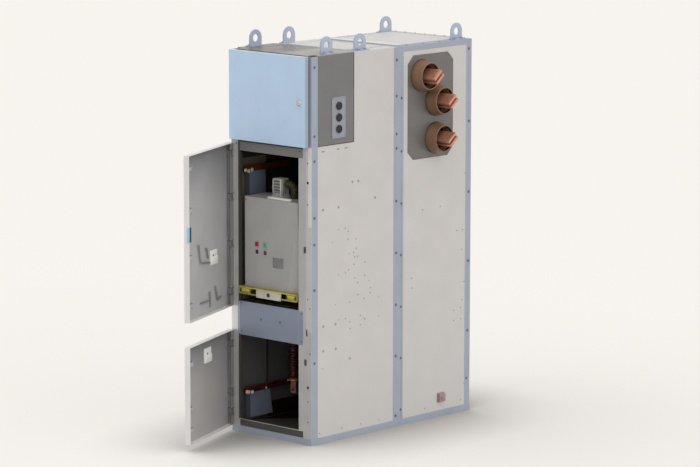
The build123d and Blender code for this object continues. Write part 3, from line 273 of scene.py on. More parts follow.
doorLevels = {"upper": (765, 1744), "lower": (42, 619)}  # lower and upper edge of each leaf
innerWall = (-323.9, 323.9)  # just inside the side panels' outer faces
shelfLevel = 810  # between the breaker's compartment and the cables'
middleLevels = (620, 765)  # the middle panel, between the two doors
finishes = {
    # finishes of the record's slots
    "blue_paint": coat(158, 165, 178, edge=1.16, patch=0.05, rough=0.46, grain=1.6),
    "pale_blue_paint": coat(197, 220, 245, edge=1.05, patch=0.04, rough=0.34, spread=0.06, grain=1.6, height=0.02),
    "grey_paint": coat(200, 196, 192, edge=1.08, patch=0.045),
    "dark_steel": coat(72, 72, 71, edge=1.7, patch=0.1, rough=0.42, spread=0.1, grain=1.2),
    "zinc_steel": coat(150, 150, 152, zincFlowers, rough=0.36, spread=0.12, grain=6, metal=0.75),
    "stainless": coat(115, 112, 110, brushedMetal, edge=1.25, patch=0.06, rough=0.38, spread=0.1, grain=1, metal=0.35),
    "black_rubber": coat(38, 37, 37, edge=1.5, patch=0.12, rough=0.62, spread=0.1, grain=0.8, height=0.04),
    "brown_resin": coat(124, 92, 70, edge=1.15, rough=0.36, grain=2.5),
    "red_resin": coat(104, 44, 48, edge=1.25, patch=0.1, rough=0.34, grain=2.5),
    "copper": coat(208, 148, 124, brushedMetal, edge=1.15, patch=0.12, rough=0.34, metal=0.55),
    "silvered_copper": coat(196, 192, 184, brushedMetal, edge=1.1, patch=0.1, rough=0.3, spread=0.1, metal=0.8),
    "white_card": coat(226, 225, 222, edge=1.02, patch=0.04, rough=0.6, spread=0.06, grain=0.6, height=0.02),
    "chrome_metal": coat(196, 196, 198, edge=1.1, patch=0.05, rough=0.22, grain=0.8, height=0.01, metal=0.9),
    "yellow_zinc": coat(168, 158, 84, zincFlowers, edge=1.25, patch=0.16, rough=0.38, spread=0.12, grain=5, metal=0.4),
    "cover_grey": coat(170, 168, 166, edge=1.12, patch=0.05, grain=0.9, height=0.04),
    "red_plastic": coat(188, 40, 74, hardPlastic),
    "green_plastic": coat(84, 190, 136, hardPlastic),
    "black_plastic": coat(46, 45, 45, edge=1.6, rough=0.45, grain=0.8),
    "olive_plastic": coat(92, 92, 62, edge=1.3, patch=0.1, grain=0.9),
    "blue_plastic": coat(150, 204, 228, hardPlastic, rough=0.32),
    # paints of single nodes, with the tones of their zones
    "eye_paint": coat(174, 184, 204, edge=1.1, patch=0.05, rough=0.42, grain=1.6),
    "gland_paint": coat(148, 150, 161, patch=0.05, rough=0.4, grain=1.4),
    # painted shade: the middle panel carries the posts' blue painted darker, for the shade between the open doors
    "middle_shade_paint": coat(136, 145, 162, edge=1.15, patch=0.05, rough=0.4, grain=1.6),
    # painted light and shade: the left stile is darker beside the doors and lighter in the gap between them, and the
    # right stile is lighter towards the corner post as a painted reflection
    "stile_paint": coat(184, 182, 180, edge=1.12, patch=0.05, zones=[
        (shade(191, 188, 186), boxZone(across=(None, 0), level=(middleLevels[1], None))),
        (shade(180, 178, 175), boxZone(across=(None, 0), level=(None, middleLevels[0]))),
        (shade(235, 233, 230), boxZone(across=(None, 0), level=middleLevels)),
        (shade(198, 196, 194), boxZone(across=(283, None), level=(680, None))),
        (shade(222, 220, 218), boxZone(across=(300, None), level=(1300, None))),
    ]),
    # painted shade on the inner faces of the side panels, darkest above the shelf, with a paler painted patch of light
    # on the upper cell's left wall near the opening
    "panel_paint": coat(201, 197, 194, edge=1.06, patch=0.03, zones=[  # darker on the side that faces the cells
        (shade(95, 94, 93), boxZone(across=innerWall, level=(None, shelfLevel))),
        (shade(54, 48, 44), boxZone(across=innerWall, level=(shelfLevel, None))),
        (shade(118, 110, 100), boxZone(across=(innerWall[0], 0), depth=(None, 290), level=(shelfLevel, 1640))),
    ]),
    # painted shade: the tray's inner face is darker, fading to a deeper tone near the top rim, and the hinge-side lip
    # darker still
    "upper_door_paint": coat(228, 226, 224, edge=1.06, patch=0.04, rough=0.46, zones=[
        (shade(185, 183, 182), leafInside(*doorLevels["upper"]), shade(130, 129, 129), (1338, 1744)),
        (shade(143, 142, 141), hingeLip(*doorLevels["upper"])),
    ]),
    # painted shade: the tray's inner face is darker, fading to a deeper tone near the top rim, and the hinge-side lip
    # darker still
    "lower_door_paint": coat(228, 226, 224, edge=1.06, patch=0.04, rough=0.46, zones=[
        (shade(177, 174, 172), leafInside(*doorLevels["lower"]), shade(128, 127, 126), (309, 619)),
        (shade(141, 140, 139), hingeLip(*doorLevels["lower"])),
    ]),
    # painted shade: the partition, spout plate, shelf and other parts inside the cells are painted near black
    "cell_shade_paint": coat(58, 52, 49, edge=1.3, patch=0.12, spread=0.1),
    "bracket_paint": coat(126, 136, 155, rough=0.42, grain=1.6, zones=[
        (shade(86, 91, 96), boxZone(depth=(None, 127))),
    ]),
    "floor_sheet": coat(74, 69, 66, patch=0.1, spread=0.1),
    # painted shade on the door's right return face, and a painted highlight on its top return face
    "lv_door_paint": coat(193, 217, 243, edge=1.05, patch=0.04, rough=0.34, spread=0.06, grain=1.6, height=0.02, zones=[
        (shade(158, 172, 188), boxZone(across=(308.4, None))),
        (shade(226, 235, 243), boxZone(level=(2299.4, None))),
    ]),
    # painted shade: the cover's top deck is painted a little darker than its front
    "cover_paint": coat(172, 170, 168, edge=1.12, patch=0.05, grain=0.9, height=0.04, zones=[
        (shade(166, 162, 159), boxZone(level=(1428.5, None))),
    ]),
    # painted shade: the top rail is painted darker than the frame's grey, for the shade that falls on it
    "rail_shade_paint": coat(128, 125, 122, edge=1.12, patch=0.06),
    "roof_paint": coat(212, 211, 210, edge=1.15, patch=0.04, rough=0.46),
    # painted reflection: the right-hand part of the box's top is painted lighter
    "box_paint": coat(115, 113, 113, edge=1.4, patch=0.07, rough=0.38, spread=0.1, zones=[
        (shade(154, 151, 148), boxZone(across=(70, None), level=(2299.2, None))),
    ]),
    # metals
    # tarnished copper, with painted shade making the bar in the cable compartment darker
    "aged_and_shaded_copper": coat(120, 58, 26, brushedMetal, edge=1.25, patch=0.22, rough=0.36, spread=0.14, metal=0.45, zones=[
        (shade(94, 42, 36), boxZone(level=(None, 1000))),
    ]),
    "dull_copper": coat(163, 134, 130, brushedMetal, edge=1.15, patch=0.14, rough=0.42, metal=0.3),
    "lever_zinc": coat(152, 156, 158, zincFlowers, edge=1.15, patch=0.1, rough=0.36, metal=0.5),
    "hinge_zinc": coat(136, 134, 132, zincFlowers, rough=0.4, height=0.02, metal=0.35),
    "door_zinc": coat(118, 116, 115, zincFlowers, rough=0.4, height=0.02, metal=0.25, zones=[
        (shade(186, 185, 183), between(leafAlong, 300, None, leafRim)),
    ]),
    "cream_zinc": coat(238, 224, 200, edge=1.05, patch=0.1, rough=0.34, grain=3, height=0.01, metal=0.1),
    "catch_zinc": coat(240, 239, 236, edge=1.03, patch=0.06, rough=0.3, grain=3, height=0.01, metal=0.1),
    "strike_zinc": coat(196, 196, 195, edge=1.15, rough=0.3, grain=3, height=0.01, metal=0.2),
    "faded_steel": coat(150, 147, 144, edge=1.1, patch=0.06, grain=1.0, height=0.02),
    "post_bolt": coat(98, 105, 118, edge=1.3, rough=0.42, grain=1.2, height=0.02),
    "pale_steel": coat(206, 200, 186, brushedMetal, edge=1.08, rough=0.36, spread=0.1, metal=0.2),
    "plate_grey": coat(142, 141, 140, brushedMetal, edge=1.15, rough=0.4, spread=0.08, grain=0.8, metal=0.2),
    "bright_yellow": coat(206, 196, 86, zincFlowers, edge=1.15, rough=0.34, grain=3, metal=0.15, spangle=False),
    # plastics, resins and rubber
    "dull_blue": coat(92, 100, 118, rough=0.42, grain=1.2),
    "recess_grey": coat(104, 102, 101, edge=1.3, grain=0.9),
    "plug_grey": coat(186, 183, 180, edge=1.15, rough=0.42, grain=1.0, height=0.04),
    "handle_case": coat(44, 66, 80, edge=1.3, rough=0.4, grain=0.8, height=0.02),
    "holder_white": coat(244, 242, 237, edge=1.0, patch=0.04, spread=0.06, grain=0.6, height=0.02),
    "hose_olive": coat(64, 64, 38, edge=1.3, patch=0.12, grain=0.9),
    # painted shade for recesses: the bushing bores and the cable entry
    "recess_shade_black": coat(30, 18, 14, gloss=0.05, patch=0.1, rough=0.7, grain=2.5),
    "maroon_resin": coat(66, 26, 26, edge=1.25, patch=0.1, rough=0.32, grain=2.5),
    "seal_rubber": coat(60, 57, 53, patch=0.12, rough=0.66, grain=0.9, height=0.05),
}
coating = {
    "edgeWidth": 0.0011,  # metres of a fold or corner that catches the light
    "edgeTurn": (0.8, 0.98),  # cosine between bevelled and flat normal, from a full edge to none
    "patchScale": 7.0,
    "noiseSpan": (0.28, 0.72),  # where the noise really lies
    "brushStretch": (1, 14, 14),
    "bump": 0.6,
}
made = {}


def makeFinish(name, values, shared):
    # colour = base x (1 +/- patch noise), times the painted edge highlight where the bevelled normal leaves the flat
    # one;
    # roughness rises with the same noise, and fine noise or cells lift the surface
    finish = bpy.data.materials.new(name)
    finish.use_nodes = True
    tree = finish.node_tree
    place = addNode(tree, "TexCoord", {}, "Object")

    def noise(scale, detail, stretch=(1, 1, 1)):
        stretched = addNode(tree, "Mapping", {"Vector": place, "Scale": stretch})
        return addNode(tree, "TexNoise", {"Vector": stretched, "Scale": scale, "Detail": detail}, "Fac")

    def swing(source, middle, reach):
        return mapRange(tree, source, shared["noiseSpan"], (middle - reach, middle + reach))

    def combine(kind, first, second):
        return addNode(tree, "Math", {0: first, 1: second}, operation=kind)

    def along(direction, source):
        return addNode(tree, "VectorMath", {0: source, 1: direction}, "Value", operation="DOT_PRODUCT")

    def blended(share, first, second):
        return addNode(tree, "Mix", {"Factor": share, 6: first, 7: second}, 2, data_type="RGBA")

    patches = noise(shared["patchScale"], 5.0)
    if values["spangle"]:
        lift = addNode(tree, "TexVoronoi", {"Vector": place, "Scale": 500 / values["grain"]}, "Distance")
    else:
        lift = noise(1000 / values["grain"], 3.0, shared["brushStretch"] if values["brushed"] else (1, 1, 1))
    # painted highlight: the colour is lifted by the edge factor where the bevelled normal leaves the flat one
    folded = addNode(tree, "Bevel", {"Radius": shared["edgeWidth"]}, samples=4)
    flatness = along(addNode(tree, "NewGeometry", {}, "Normal"), folded)
    edgeHighlight = mapRange(tree, flatness, shared["edgeTurn"], (values["edge"], 1.0))
    tone = combine("MULTIPLY", swing(patches, 1, values["patch"]), swing(lift, 1, values["patch"] / 3))
    colour = values["colour"]
    for tint, bounds, *fade in values["zones"]:  # each zone is painted over the one before it
        within = None
        for direction, limit in bounds:
            step = combine("LESS_THAN", along(direction, place), limit)
            within = step if within is None else combine("MULTIPLY", within, step)
        # painted shade: the zone's tone darkens towards the deep tone as the level rises
        if fade:  # the deep tone comes in with the square of the way from the lower level to the upper one
            deep, levels = fade
            way = mapRange(tree, along((0, 0, 1), place), [level / 1000 for level in levels], (0, 1))
            tint = blended(combine("MULTIPLY", way, way), tint, deep)
        colour = blended(within, colour, tint)
    base = colour if values["zones"] else colour[:3]
    painted = addNode(tree, "VectorMath", {0: base, "Scale": combine("MULTIPLY", tone, edgeHighlight)}, operation="SCALE")
    grain = {"Strength": shared["bump"], "Distance": values["height"] / 1000, "Height": lift, "Normal": folded}
    looks = {
        "Metallic": values["metal"],
        "Specular IOR Level": values["gloss"],
        "Base Color": painted,
        "Roughness": swing(patches, values["rough"], values["spread"]),
        "Normal": addNode(tree, "Bump", grain),
    }
    shader = tree.nodes["Principled BSDF"]
    for socket, value in looks.items():
        if isinstance(value, float):
            shader.inputs[socket].default_value = value
        else:
            tree.links.new(value, shader.inputs[socket])
    return finish


for name, values in finishes.items():
    made[name] = makeFinish(name, values, coating)
repainted = {  # CAD nodes whose finish isn't their slot's own
    "eye_paint": ("lifting_eyes",),
    "gland_paint": ("lv_gland_plate",),
    "middle_shade_paint": ("middle_panel",),
    "stile_paint": ("front_stiles", "lock_jambs"),
    "panel_paint": ("front_side_panel", "left_side_panels", "rear_side_panel"),
    "upper_door_paint": ("upper_door",),
    "lower_door_paint": ("lower_door",),
    "cell_shade_paint": ("rear_partition", "spout_plate", "breaker_shelf"),
    "bracket_paint": ("wall_brackets",),
    "floor_sheet": ("cable_floor",),
    "lv_door_paint": ("lv_door",),
    "cover_paint": ("breaker_cover",),
    "rail_shade_paint": ("top_rail",),
    "roof_paint": ("roof_sheets", "relief_flaps"),
    "box_paint": ("lv_box",),
    "aged_and_shaded_copper": ("earth_bars",),
    "dull_copper": ("earth_stub",),
    "lever_zinc": ("upper_door_levers",),
    "hinge_zinc": ("truck_rails", "hinge_brackets", "lv_door_hinges"),
    "door_zinc": ("upper_door_hardware", "lower_door_hardware"),
    "pale_steel": ("truck_plate",),
}
finishOf = {part["node"]: part["material_slot"] for part in frame["record"]["subparts"]}
finishOf.update({node: finish for finish, nodes in repainted.items() for node in nodes})
for node, finish in finishOf.items():
    mesh = frame["nodes"][node].data
    mesh.materials.clear()
    mesh.materials.append(made[finish])
print("finishes made:", len(made))

# shapes: rings of points, skinned, in millimetres; each direction gives where a shape's x, y and z go
directions = {
    "right": np.array([[0, 1, 0], [0, 0, 1], [1, 0, 0]], float),
    "left": np.array([[0, -1, 0], [0, 0, 1], [-1, 0, 0]], float),
    "front": np.array([[1, 0, 0], [0, 0, 1], [0, -1, 0]], float),
    "back": np.array([[-1, 0, 0], [0, 0, 1], [0, 1, 0]], float),
    "up": np.array([[1, 0, 0], [0, 1, 0], [0, 0, 1]], float),
    "leaf": np.array([-leafAlong, [0, 0, 1], leafInward], float),
    "leafEdge": np.array([leafInward, [0, 0, 1], leafAlong], float),
}


def skin(rings, closed=False):
    # quads between neighbouring rings, and a lid on the first and last ring unless the rings close on themselves
    rows, count = rings.shape[:2]
    steps = rows if closed else rows - 1
    row, col = np.meshgrid(np.arange(steps), np.arange(count), indexing="ij")
    after, beside = (row + 1) % rows, (col + 1) % count
    quads = np.stack([row * count + col, row * count + beside, after * count + beside, after * count + col], -1)
    corners, sizes = quads.reshape(-1), np.full(steps * count, 4)
    if not closed:
        lids = [np.arange(count)[::-1], np.arange(count) + (rows - 1) * count]
        corners, sizes = np.concatenate([corners, *lids]), np.concatenate([sizes, [count, count]])
    return rings.reshape(-1, 3), corners, sizes


def lifted(flat, height):
    # rings of flat points, each ring at its own height
    return np.concatenate([flat, np.broadcast_to(height[:, None, None], (*flat.shape[:2], 1))], -1)


def turned(profile, count=24, hexagon=()):
    # (radius cos a, radius sin a, height) for each profile point and angle; the listed rows follow a hexagon,
    # whose reach is cos 30 / cos(angle from the middle of its side)
    radius, height = np.array(profile, float).T
    angle = np.arange(count) * 2 * np.pi / count
    shape = np.ones((len(radius), count))
    shape[list(hexagon)] = np.cos(np.pi / 6) / np.cos(angle % (np.pi / 3) - np.pi / 6)
    reach = radius[:, None] * shape
    return skin(lifted(np.stack([reach * np.cos(angle), reach * np.sin(angle)], -1), height))


def outline(width, rise, corner, steps=4):
    # rounded rectangle, anticlockwise: corner centre + corner radius x (cos a, sin a), and the outward directions
    quarter = np.linspace(0, np.pi / 2, steps)
    angle = (quarter[None, :] + np.arange(4)[:, None] * np.pi / 2).reshape(-1)
    signs = np.repeat(np.array([[1, 1], [-1, 1], [-1, -1], [1, -1]], float), steps, axis=0)
    out = np.stack([np.cos(angle), np.sin(angle)], -1)
    return signs * np.array([width / 2 - corner, rise / 2 - corner]) + corner * out, out


def stepped(width, rise, corner, profile, closed=False):
    # the outline drawn in by each profile inset and lifted to each profile height
    edge, out = outline(width, rise, corner)
    inset, height = np.array(profile, float).T
    return skin(lifted(edge[None] - inset[:, None, None] * out[None], height), closed)


def slab(width, rise, thick, corner=2.0, edge=0.6):
    # a plate with a rounded upper edge
    return stepped(width, rise, corner, [(0, 0), (0, thick - edge), (0.3 * edge, thick - 0.3 * edge), (edge, thick)])


def framed(width, rise, band, thick, corner=3.0):
    # a flat ring: a four-cornered section carried round the rounded rectangle
    return stepped(width, rise, corner, [(0, 0), (0, thick), (band, thick), (band, 0)], closed=True)


def tube(path, radii, count=20):
    # a circle of the given radius carried along the path, square to it; its sides come from one fixed direction
    path = np.array(path, float)
    ahead = np.gradient(path, axis=0)
    ahead /= np.linalg.norm(ahead, axis=1)[:, None]
    side = np.cross(ahead, [0.13, 0.37, 0.92])
    side /= np.linalg.norm(side, axis=1)[:, None]
    over = np.cross(ahead, side)
    angle = np.arange(count) * 2 * np.pi / count
    circle = side[:, None] * np.cos(angle)[None, :, None] + over[:, None] * np.sin(angle)[None, :, None]
    return skin(path[:, None] + radii[:, None, None] * circle)


def extruded(edge, heights):
    # an anticlockwise outline repeated at each height
    edge, heights = np.array(edge, float), np.array(heights, float)
    return skin(lifted(np.broadcast_to(edge[None], (len(heights), *edge.shape)), heights))


def copies(shape, places, way="up"):
    # the same shape at every place, turned to look the given way
    points, corners, sizes = shape
    places = np.array(places, float).reshape(-1, 3)
    placed = (points @ directions[way])[None] + places[:, None]
    shifted = corners[None] + (np.arange(len(places)) * len(points))[:, None]
    return placed.reshape(-1, 3), shifted.reshape(-1), np.tile(sizes, len(places))


def joined(*shapes):
    # several shapes as one, with each one's corners counted on from the points before it
    offsets = np.cumsum([0] + [len(shape[0]) for shape in shapes[:-1]])
    return (
        np.concatenate([shape[0] for shape in shapes]),
        np.concatenate([shape[1] + shift for shape, shift in zip(shapes, offsets)]),
        np.concatenate([shape[2] for shape in shapes]),
    )


# planes that carry pieces
acrossWay, depthWay, upWay = np.eye(3)
frontStart = frontPlane * depthWay
planes = {  # where a plane starts, the ways of a place's two numbers, and the way of the plane's own distance
    "right": (frontStart, depthWay, upWay, acrossWay),
    "left": (frontStart, depthWay, upWay, acrossWay),
    "front": (frontStart, acrossWay, upWay, depthWay),
    "back": (frontStart, acrossWay, upWay, depthWay),
    "up": (frontStart, acrossWay, depthWay, upWay),
    "leaf": (leafRim, leafAlong, upWay, -leafInward),
    "leafEdge": (leafRim, leafAlong, upWay, -leafInward),
}


def fixed(shape, way, at, places):
    # place = start + first number x its way + second number x its way + at x the plane's own way
    start, run, rise, deep = planes[way]
    places = np.array(places, float).reshape(-1, 2)
    return copies(shape, start + places[:, :1] * run + places[:, 1:] * rise + at * deep, way)


def addPiece(name, shape, body, slot, finish=None, stands=(), sharp=35):
    points, corners, sizes = shape
    mesh = bpy.data.meshes.new(name)
    mesh.vertices.add(len(points))
    mesh.vertices.foreach_set("co", (points * 0.001).astype(np.float32).reshape(-1))
    mesh.loops.add(len(corners))
    mesh.loops.foreach_set("vertex_index", corners.astype(np.int32))
    mesh.polygons.add(len(sizes))
    starts = np.concatenate([[0], np.cumsum(sizes)[:-1]])
    mesh.polygons.foreach_set("loop_start", starts.astype(np.int32))
    mesh.polygons.foreach_set("use_smooth", np.ones(len(sizes), bool))
    mesh.update(calc_edges=True)
    mesh.set_sharp_from_angle(angle=math.radians(sharp))
    mesh.materials.append(made[finish or slot])
    piece = bpy.data.objects.new(name, mesh)
    bpy.context.scene.collection.objects.link(piece)
    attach(piece, body)
    if stands:
        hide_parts(*stands)
    return piece


def panScrew(size):
    # a low domed head with a socket in its middle
    half = size / 2
    socket = 0.34 * size
    profile = [(half, 0), (half, 0.1 * size), (0.8 * half, 0.24 * size), (0.7 * socket, 0.28 * size),
               (0.6 * socket, 0.12 * size)]
    return turned(profile, 16, hexagon=(4,))


def hexBolt(across, washer=1.9):
    # washer, hexagon and chamfered top, as one turned profile
    half, tall = across / 2, 0.42 * across
    profile = [(half * washer, 0), (half * washer, 0.12 * across), (half * 1.12, 0.14 * across), (half * 1.12, tall),
               (half * 0.9, tall + 0.08 * across)]
    return turned(profile, 24, hexagon=(2, 3))


# faces that carry pieces, in millimetres, a tenth or two off the metal's own so that the two never flicker
faces = {
    "side": 324.9,  # side panels and posts
    "strip": 324.8,  # side panels, for what lies flat on them
    "bushingPlate": 322.9,
    "front": 0.1,
    "rear": 1419.9,
    "leafSheet": 31.9,  # inner face of an open door, behind its rim
    "bracket": -290.2,  # earth bars on the left wall
    "cellFloor": 41.9,
}

# right side
sideFixings = {
    "screwSize": 8.5,
    "frontPanel": [
        (291, 1265), (317, 1243), (316, 1196), (385, 1190), (388, 1134), (364, 1111), (375, 1085), (401, 1085),
        (464, 1041), (367, 1040), (320, 1013), (293, 998), (462, 962), (375, 957), (400, 926), (511, 881), (509, 852),
        (401, 854), (454, 823), (331, 818), (424, 726), (462, 700), (294, 723), (331, 699), (424, 669), (335, 658),
    ],
    "bottomRow": [(70, 67), (263, 67), (430, 67), (590, 67)],
    "rearPanel": [
        (979, 1296), (1138, 1299), (1292, 1132), (1343, 1132), (1339, 1012), (1366, 1480), (880, 890), (885, 830),
        (1268, 642), (1267, 579), (1332, 650), (1332, 581), (1343, 698), (1362, 808), (1004, 71), (1368, 174),
        (1337, 75),
    ],
    "faintSize": 0.7,  # of a screw
    "faint": [
        (231, 1264), (180, 1194), (328, 1109), (232, 995), (499, 925), (583, 819), (206, 819), (584, 701), (235, 725),
        (97, 452),
    ],
    "plugSize": 15.0,
    "plugs": [
        (208, 702), (102, 702), (210, 554), (102, 554), (333, 479), (353, 1534), (404, 1534), (552, 1418), (234, 1396),
        (99, 1394),
    ],
    "slotSize": (26, 7),
    "slots": [(100, 1738), (230, 1741), (298, 1741)],
}
screw = panScrew(sideFixings["screwSize"])


def dressSide(values):
    places = values["frontPanel"] + values["bottomRow"] + values["rearPanel"]
    dimple = panScrew(values["screwSize"] * values["faintSize"])
    heads = joined(fixed(screw, "right", faces["side"], places), fixed(dimple, "right", faces["side"], values["faint"]))
    addPiece("side_panel_screws", heads, "cubicle", "dark_steel", "faded_steel")
    half = values["plugSize"] / 2
    plug = turned([(half, 0), (half, 0.8), (half - 1.3, 1.8), (half - 2.9, 1.8), (half - 3.9, 0.9)], 20)
    plugs = fixed(plug, "right", faces["side"], values["plugs"])
    addPiece("side_panel_plugs", plugs, "cubicle", "black_rubber", "faded_steel")
    slot = stepped(*values["slotSize"], 3.4, [(0, 0), (0, 0.7), (1.0, 0.9), (1.8, 0.2)])
    slots = fixed(slot, "right", faces["side"], values["slots"])
    addPiece("side_panel_slots", slots, "cubicle", "black_rubber", "faded_steel")


dressSide(sideFixings)
frameBolts = {
    "size": 9.0,
    "frontPost": (27, (2236, 1834, 1687, 1353, 1196, 927, 492)),
    "middlePost": (740, (2222, 2007, 1780, 1693, 1376, 1062, 747, 433, 67)),
    "rearSectionPost": (785, (1991, 1672, 1356, 1044, 729, 415, 99)),
    "rearPost": [(1394, 2239), (1399, 1795), (1399, 1361), (1399, 933), (1396, 500), (1390, 202)],
    "strip": (16, 2224), "stripPlace": (794, 1153),  # covers the joint of the post and its side panel
}


def dressPosts(values):
    bolt = hexBolt(values["size"])
    columns = (values["frontPost"], values["middlePost"], values["rearSectionPost"])
    places = [(depth, level) for depth, levels in columns for level in levels] + values["rearPost"]
    for way, side in (("right", faces["side"]), ("left", -faces["side"])):
        addPiece("frame_bolts_" + way, fixed(bolt, way, side, places), "cubicle", "dark_steel", "post_bolt")
    strip = fixed(slab(*values["strip"], 1.4, 1, 0.5), "right", faces["strip"], [values["stripPlace"]])
    addPiece("rear_post_strip", strip, "cubicle", "blue_paint")


dressPosts(frameBolts)
print("side fixings done")

# roof
roofDetails = {
    "rim": (14, 3.0),
    "flaps": [(500, 310, 550, 2301.5), (550, 588, 1076, 2299.5)],  # width, length, depth and level of each
    "flapScrew": 11, "screwInset": 26,
    "eyeBolt": 15, "eyeFeet": [(167, 2308.6), (455, 2304.6), (1318, 2302.6)],
    "edgeBolt": 9, "edgeLevel": 2297.9,
    "strip": (556, 30), "stripDepth": 812, "stripLevel": 2301.9,
}


def dressRoof(values):
    rims, screws = [], []
    for width, length, depth, level in values["flaps"]:
        rims.append(fixed(framed(width, length, *values["rim"]), "up", level, [(0, depth)]))
        half, reach = width / 2 - values["screwInset"], length / 2 - values["screwInset"]
        across, along = np.linspace(-half, half, 5), np.linspace(-reach, reach, 5)
        edge = [(x, depth + side * reach) for x in across for side in (-1, 1)]
        edge += [(side * half, depth + y) for y in along[1:-1] for side in (-1, 1)]
        screws.append(fixed(panScrew(values["flapScrew"]), "up", level, edge))
    addPiece("relief_flap_rims", joined(*rims), "cubicle", "grey_paint", "roof_paint")
    addPiece("relief_flap_screws", joined(*screws), "cubicle", "white_card")
    bolt = hexBolt(values["eyeBolt"])
    bolts = [
        fixed(bolt, "up", level, [(side * 306, depth + step) for side in (-1, 1) for step in (-30, 30)])
        for depth, level in values["eyeFeet"]
    ]
    addPiece("lifting_eye_bolts", joined(*bolts), "cubicle", "zinc_steel")
    edge = [(x, 1402) for x in range(-280, 281, 80)]
    edge += [(side * 303, depth) for side in (-1, 1) for depth in (850, 1000, 1150)]
    bolts = fixed(hexBolt(values["edgeBolt"]), "up", values["edgeLevel"], edge)
    addPiece("roof_edge_bolts", bolts, "cubicle", "dark_steel", "faded_steel")
    # painted highlight: a white strip along the joint of the roof rail and the rear flap
    strip = fixed(slab(*values["strip"], 2.6, 1, 0.8), "up", values["stripLevel"], [(0, values["stripDepth"])])
    addPiece("roof_joint_highlight", strip, "cubicle", "white_card", "holder_white")


dressRoof(roofDetails)
print("roof done")

# low-voltage box, gland plate and door
lowVoltage = {
    "lockRing": 19, "lock": (260, 2030), "lockFace": -35.0, "bezel": (46, 66),
    "gland": (232, 1927), "glandSize": (115, 239), "glandFace": 326.9, "grommets": (-68, 0, 68), "grommetFace": 331.4,
    "seamUpright": (364, 2037, 530), "seamLevel": (211, 1771, 306),  # depth, level and length
}


def dressLowVoltageBox(values):
    # lock: a turned ring with a raised barrel and a sunken key socket
    ring = values["lockRing"]
    profile = [(ring, 0), (ring, 1.6), (ring - 2, 3.2), (13, 3.6), (12, 6.6), (11, 7.4), (6, 7.4), (5.2, 4.2)]
    lock = fixed(turned(profile, 32, hexagon=(6, 7)), "front", values["lockFace"], [values["lock"]])
    addPiece("lv_door_quarter_turn", lock, "lv_door_leaf", "chrome_metal", stands=("lv_door_lock",))
    bezel = fixed(framed(*values["bezel"], 4, 1.4, 8), "front", values["lockFace"] + 0.2, [values["lock"]])
    addPiece("lv_door_lock_bezel", bezel, "lv_door_leaf", "pale_blue_paint")
    depth, level = values["gland"]
    width, rise = values["glandSize"]
    half, reach = width / 2 - 8, rise / 2 - 9
    places = [(depth + side * half, level + up * reach) for side in (-1, 1) for up in (-1, 0, 1)]
    addPiece("gland_plate_screws", fixed(panScrew(8), "right", values["glandFace"], places), "cubicle", "zinc_steel")
    rim = fixed(framed(width + 3, rise + 3, 5, 1.2, 4), "right", values["glandFace"] - 0.3, [values["gland"]])
    addPiece("gland_plate_rim", rim, "cubicle", "blue_paint", "gland_paint")
    # grommets: steps that fall towards the middle, with a groove between each
    radius = [23.5, 23.5, 20.5, 18.5, 16.5, 14.5, 12.5, 10.5, 7.5, 4.0]
    height = [0.0, 3.0, 5.4, 3.2, 5.0, 3.0, 4.4, 2.6, 3.6, 4.4]
    places = [(depth, level + step) for step in values["grommets"]]
    membranes = fixed(turned(np.stack([radius, height], -1), 32), "right", values["grommetFace"], places)
    addPiece("grommet_membranes", membranes, "cubicle", "black_rubber")
    # a dark joint up the box's rear edge, and a dark strip along its lower edge that is partly a seam and partly a
    # painted shadow under the box
    for way, side in (("right", faces["strip"]), ("left", -faces["strip"])):
        depth, level, tall = values["seamUpright"]
        upright = fixed(slab(4, tall, 1.4, 1, 0.4), way, side, [(depth, level)])
        depth, level, long = values["seamLevel"]
        seams = joined(upright, fixed(slab(long, 4, 1.4, 1, 0.4), way, side, [(depth, level)]))
        addPiece("lv_box_seam_and_shadow_" + way, seams, "cubicle", "black_rubber", "seal_rubber")


dressLowVoltageBox(lowVoltage)
print("low-voltage box done")

# bushings, busbars and the earth terminal
bushings = {
    "places": [(963, 2112), (1094, 1953), (1092, 1724)], "bore": 74.8, "throat": 62, "throatFace": 334.0, "collar": 97,
    "plate": (1043, 1922), "plateSize": (412, 630), "screwInset": 13, "cutCorner": 45,
}


def dressBushings(values):
    bore, deep, collar = values["bore"], values["throat"], values["collar"]
    # painted shade: near-black linings in the bushing bores
    throat = turned([(bore, 0), (bore, deep), (bore - 1.4, deep), (bore - 1.4, 2), (1, 2)], 48)
    throats = fixed(throat, "right", values["throatFace"], values["places"])
    addPiece("bushing_throats", throats, "cubicle", "brown_resin", "recess_shade_black")
    seal = turned([(collar, 0), (collar, 1.8), (collar - 1.4, 3.0), (90, 3.4)], 64)
    seals = fixed(seal, "right", faces["bushingPlate"], values["places"])
    addPiece("bushing_collars", seals, "cubicle", "black_rubber", "seal_rubber")
    depth, level = values["plate"]
    half, tall = [size / 2 - values["screwInset"] for size in values["plateSize"]]
    upright, flat = tall - values["cutCorner"], half - values["cutCorner"]
    edge = [(depth + x * half, level + z * upright) for x in (-1, 1) for z in (-1, -0.5, 0, 0.5, 1)]
    edge += [(depth + x * flat, level + z * tall) for x in (-1, 0, 1) for z in (-1, 1)]
    screws = fixed(panScrew(9), "right", faces["bushingPlate"], edge)
    addPiece("bushing_plate_screws", screws, "cubicle", "stainless")


dressBushings(bushings)
stub = {"place": (1150, 118), "frame": (66, 60), "bolt": 17, "face": 342.9}
stubSeal = fixed(framed(*stub["frame"], 6, 2.0, 4), "right", faces["strip"], [stub["place"]])
addPiece("earth_stub_seal", stubSeal, "cubicle", "black_rubber", "faded_steel")
stubBolt = fixed(hexBolt(stub["bolt"], 1.5), "right", stub["face"], [stub["place"]])
addPiece("earth_stub_bolt", stubBolt, "cubicle", "copper", "dull_copper")
print("bushings done")

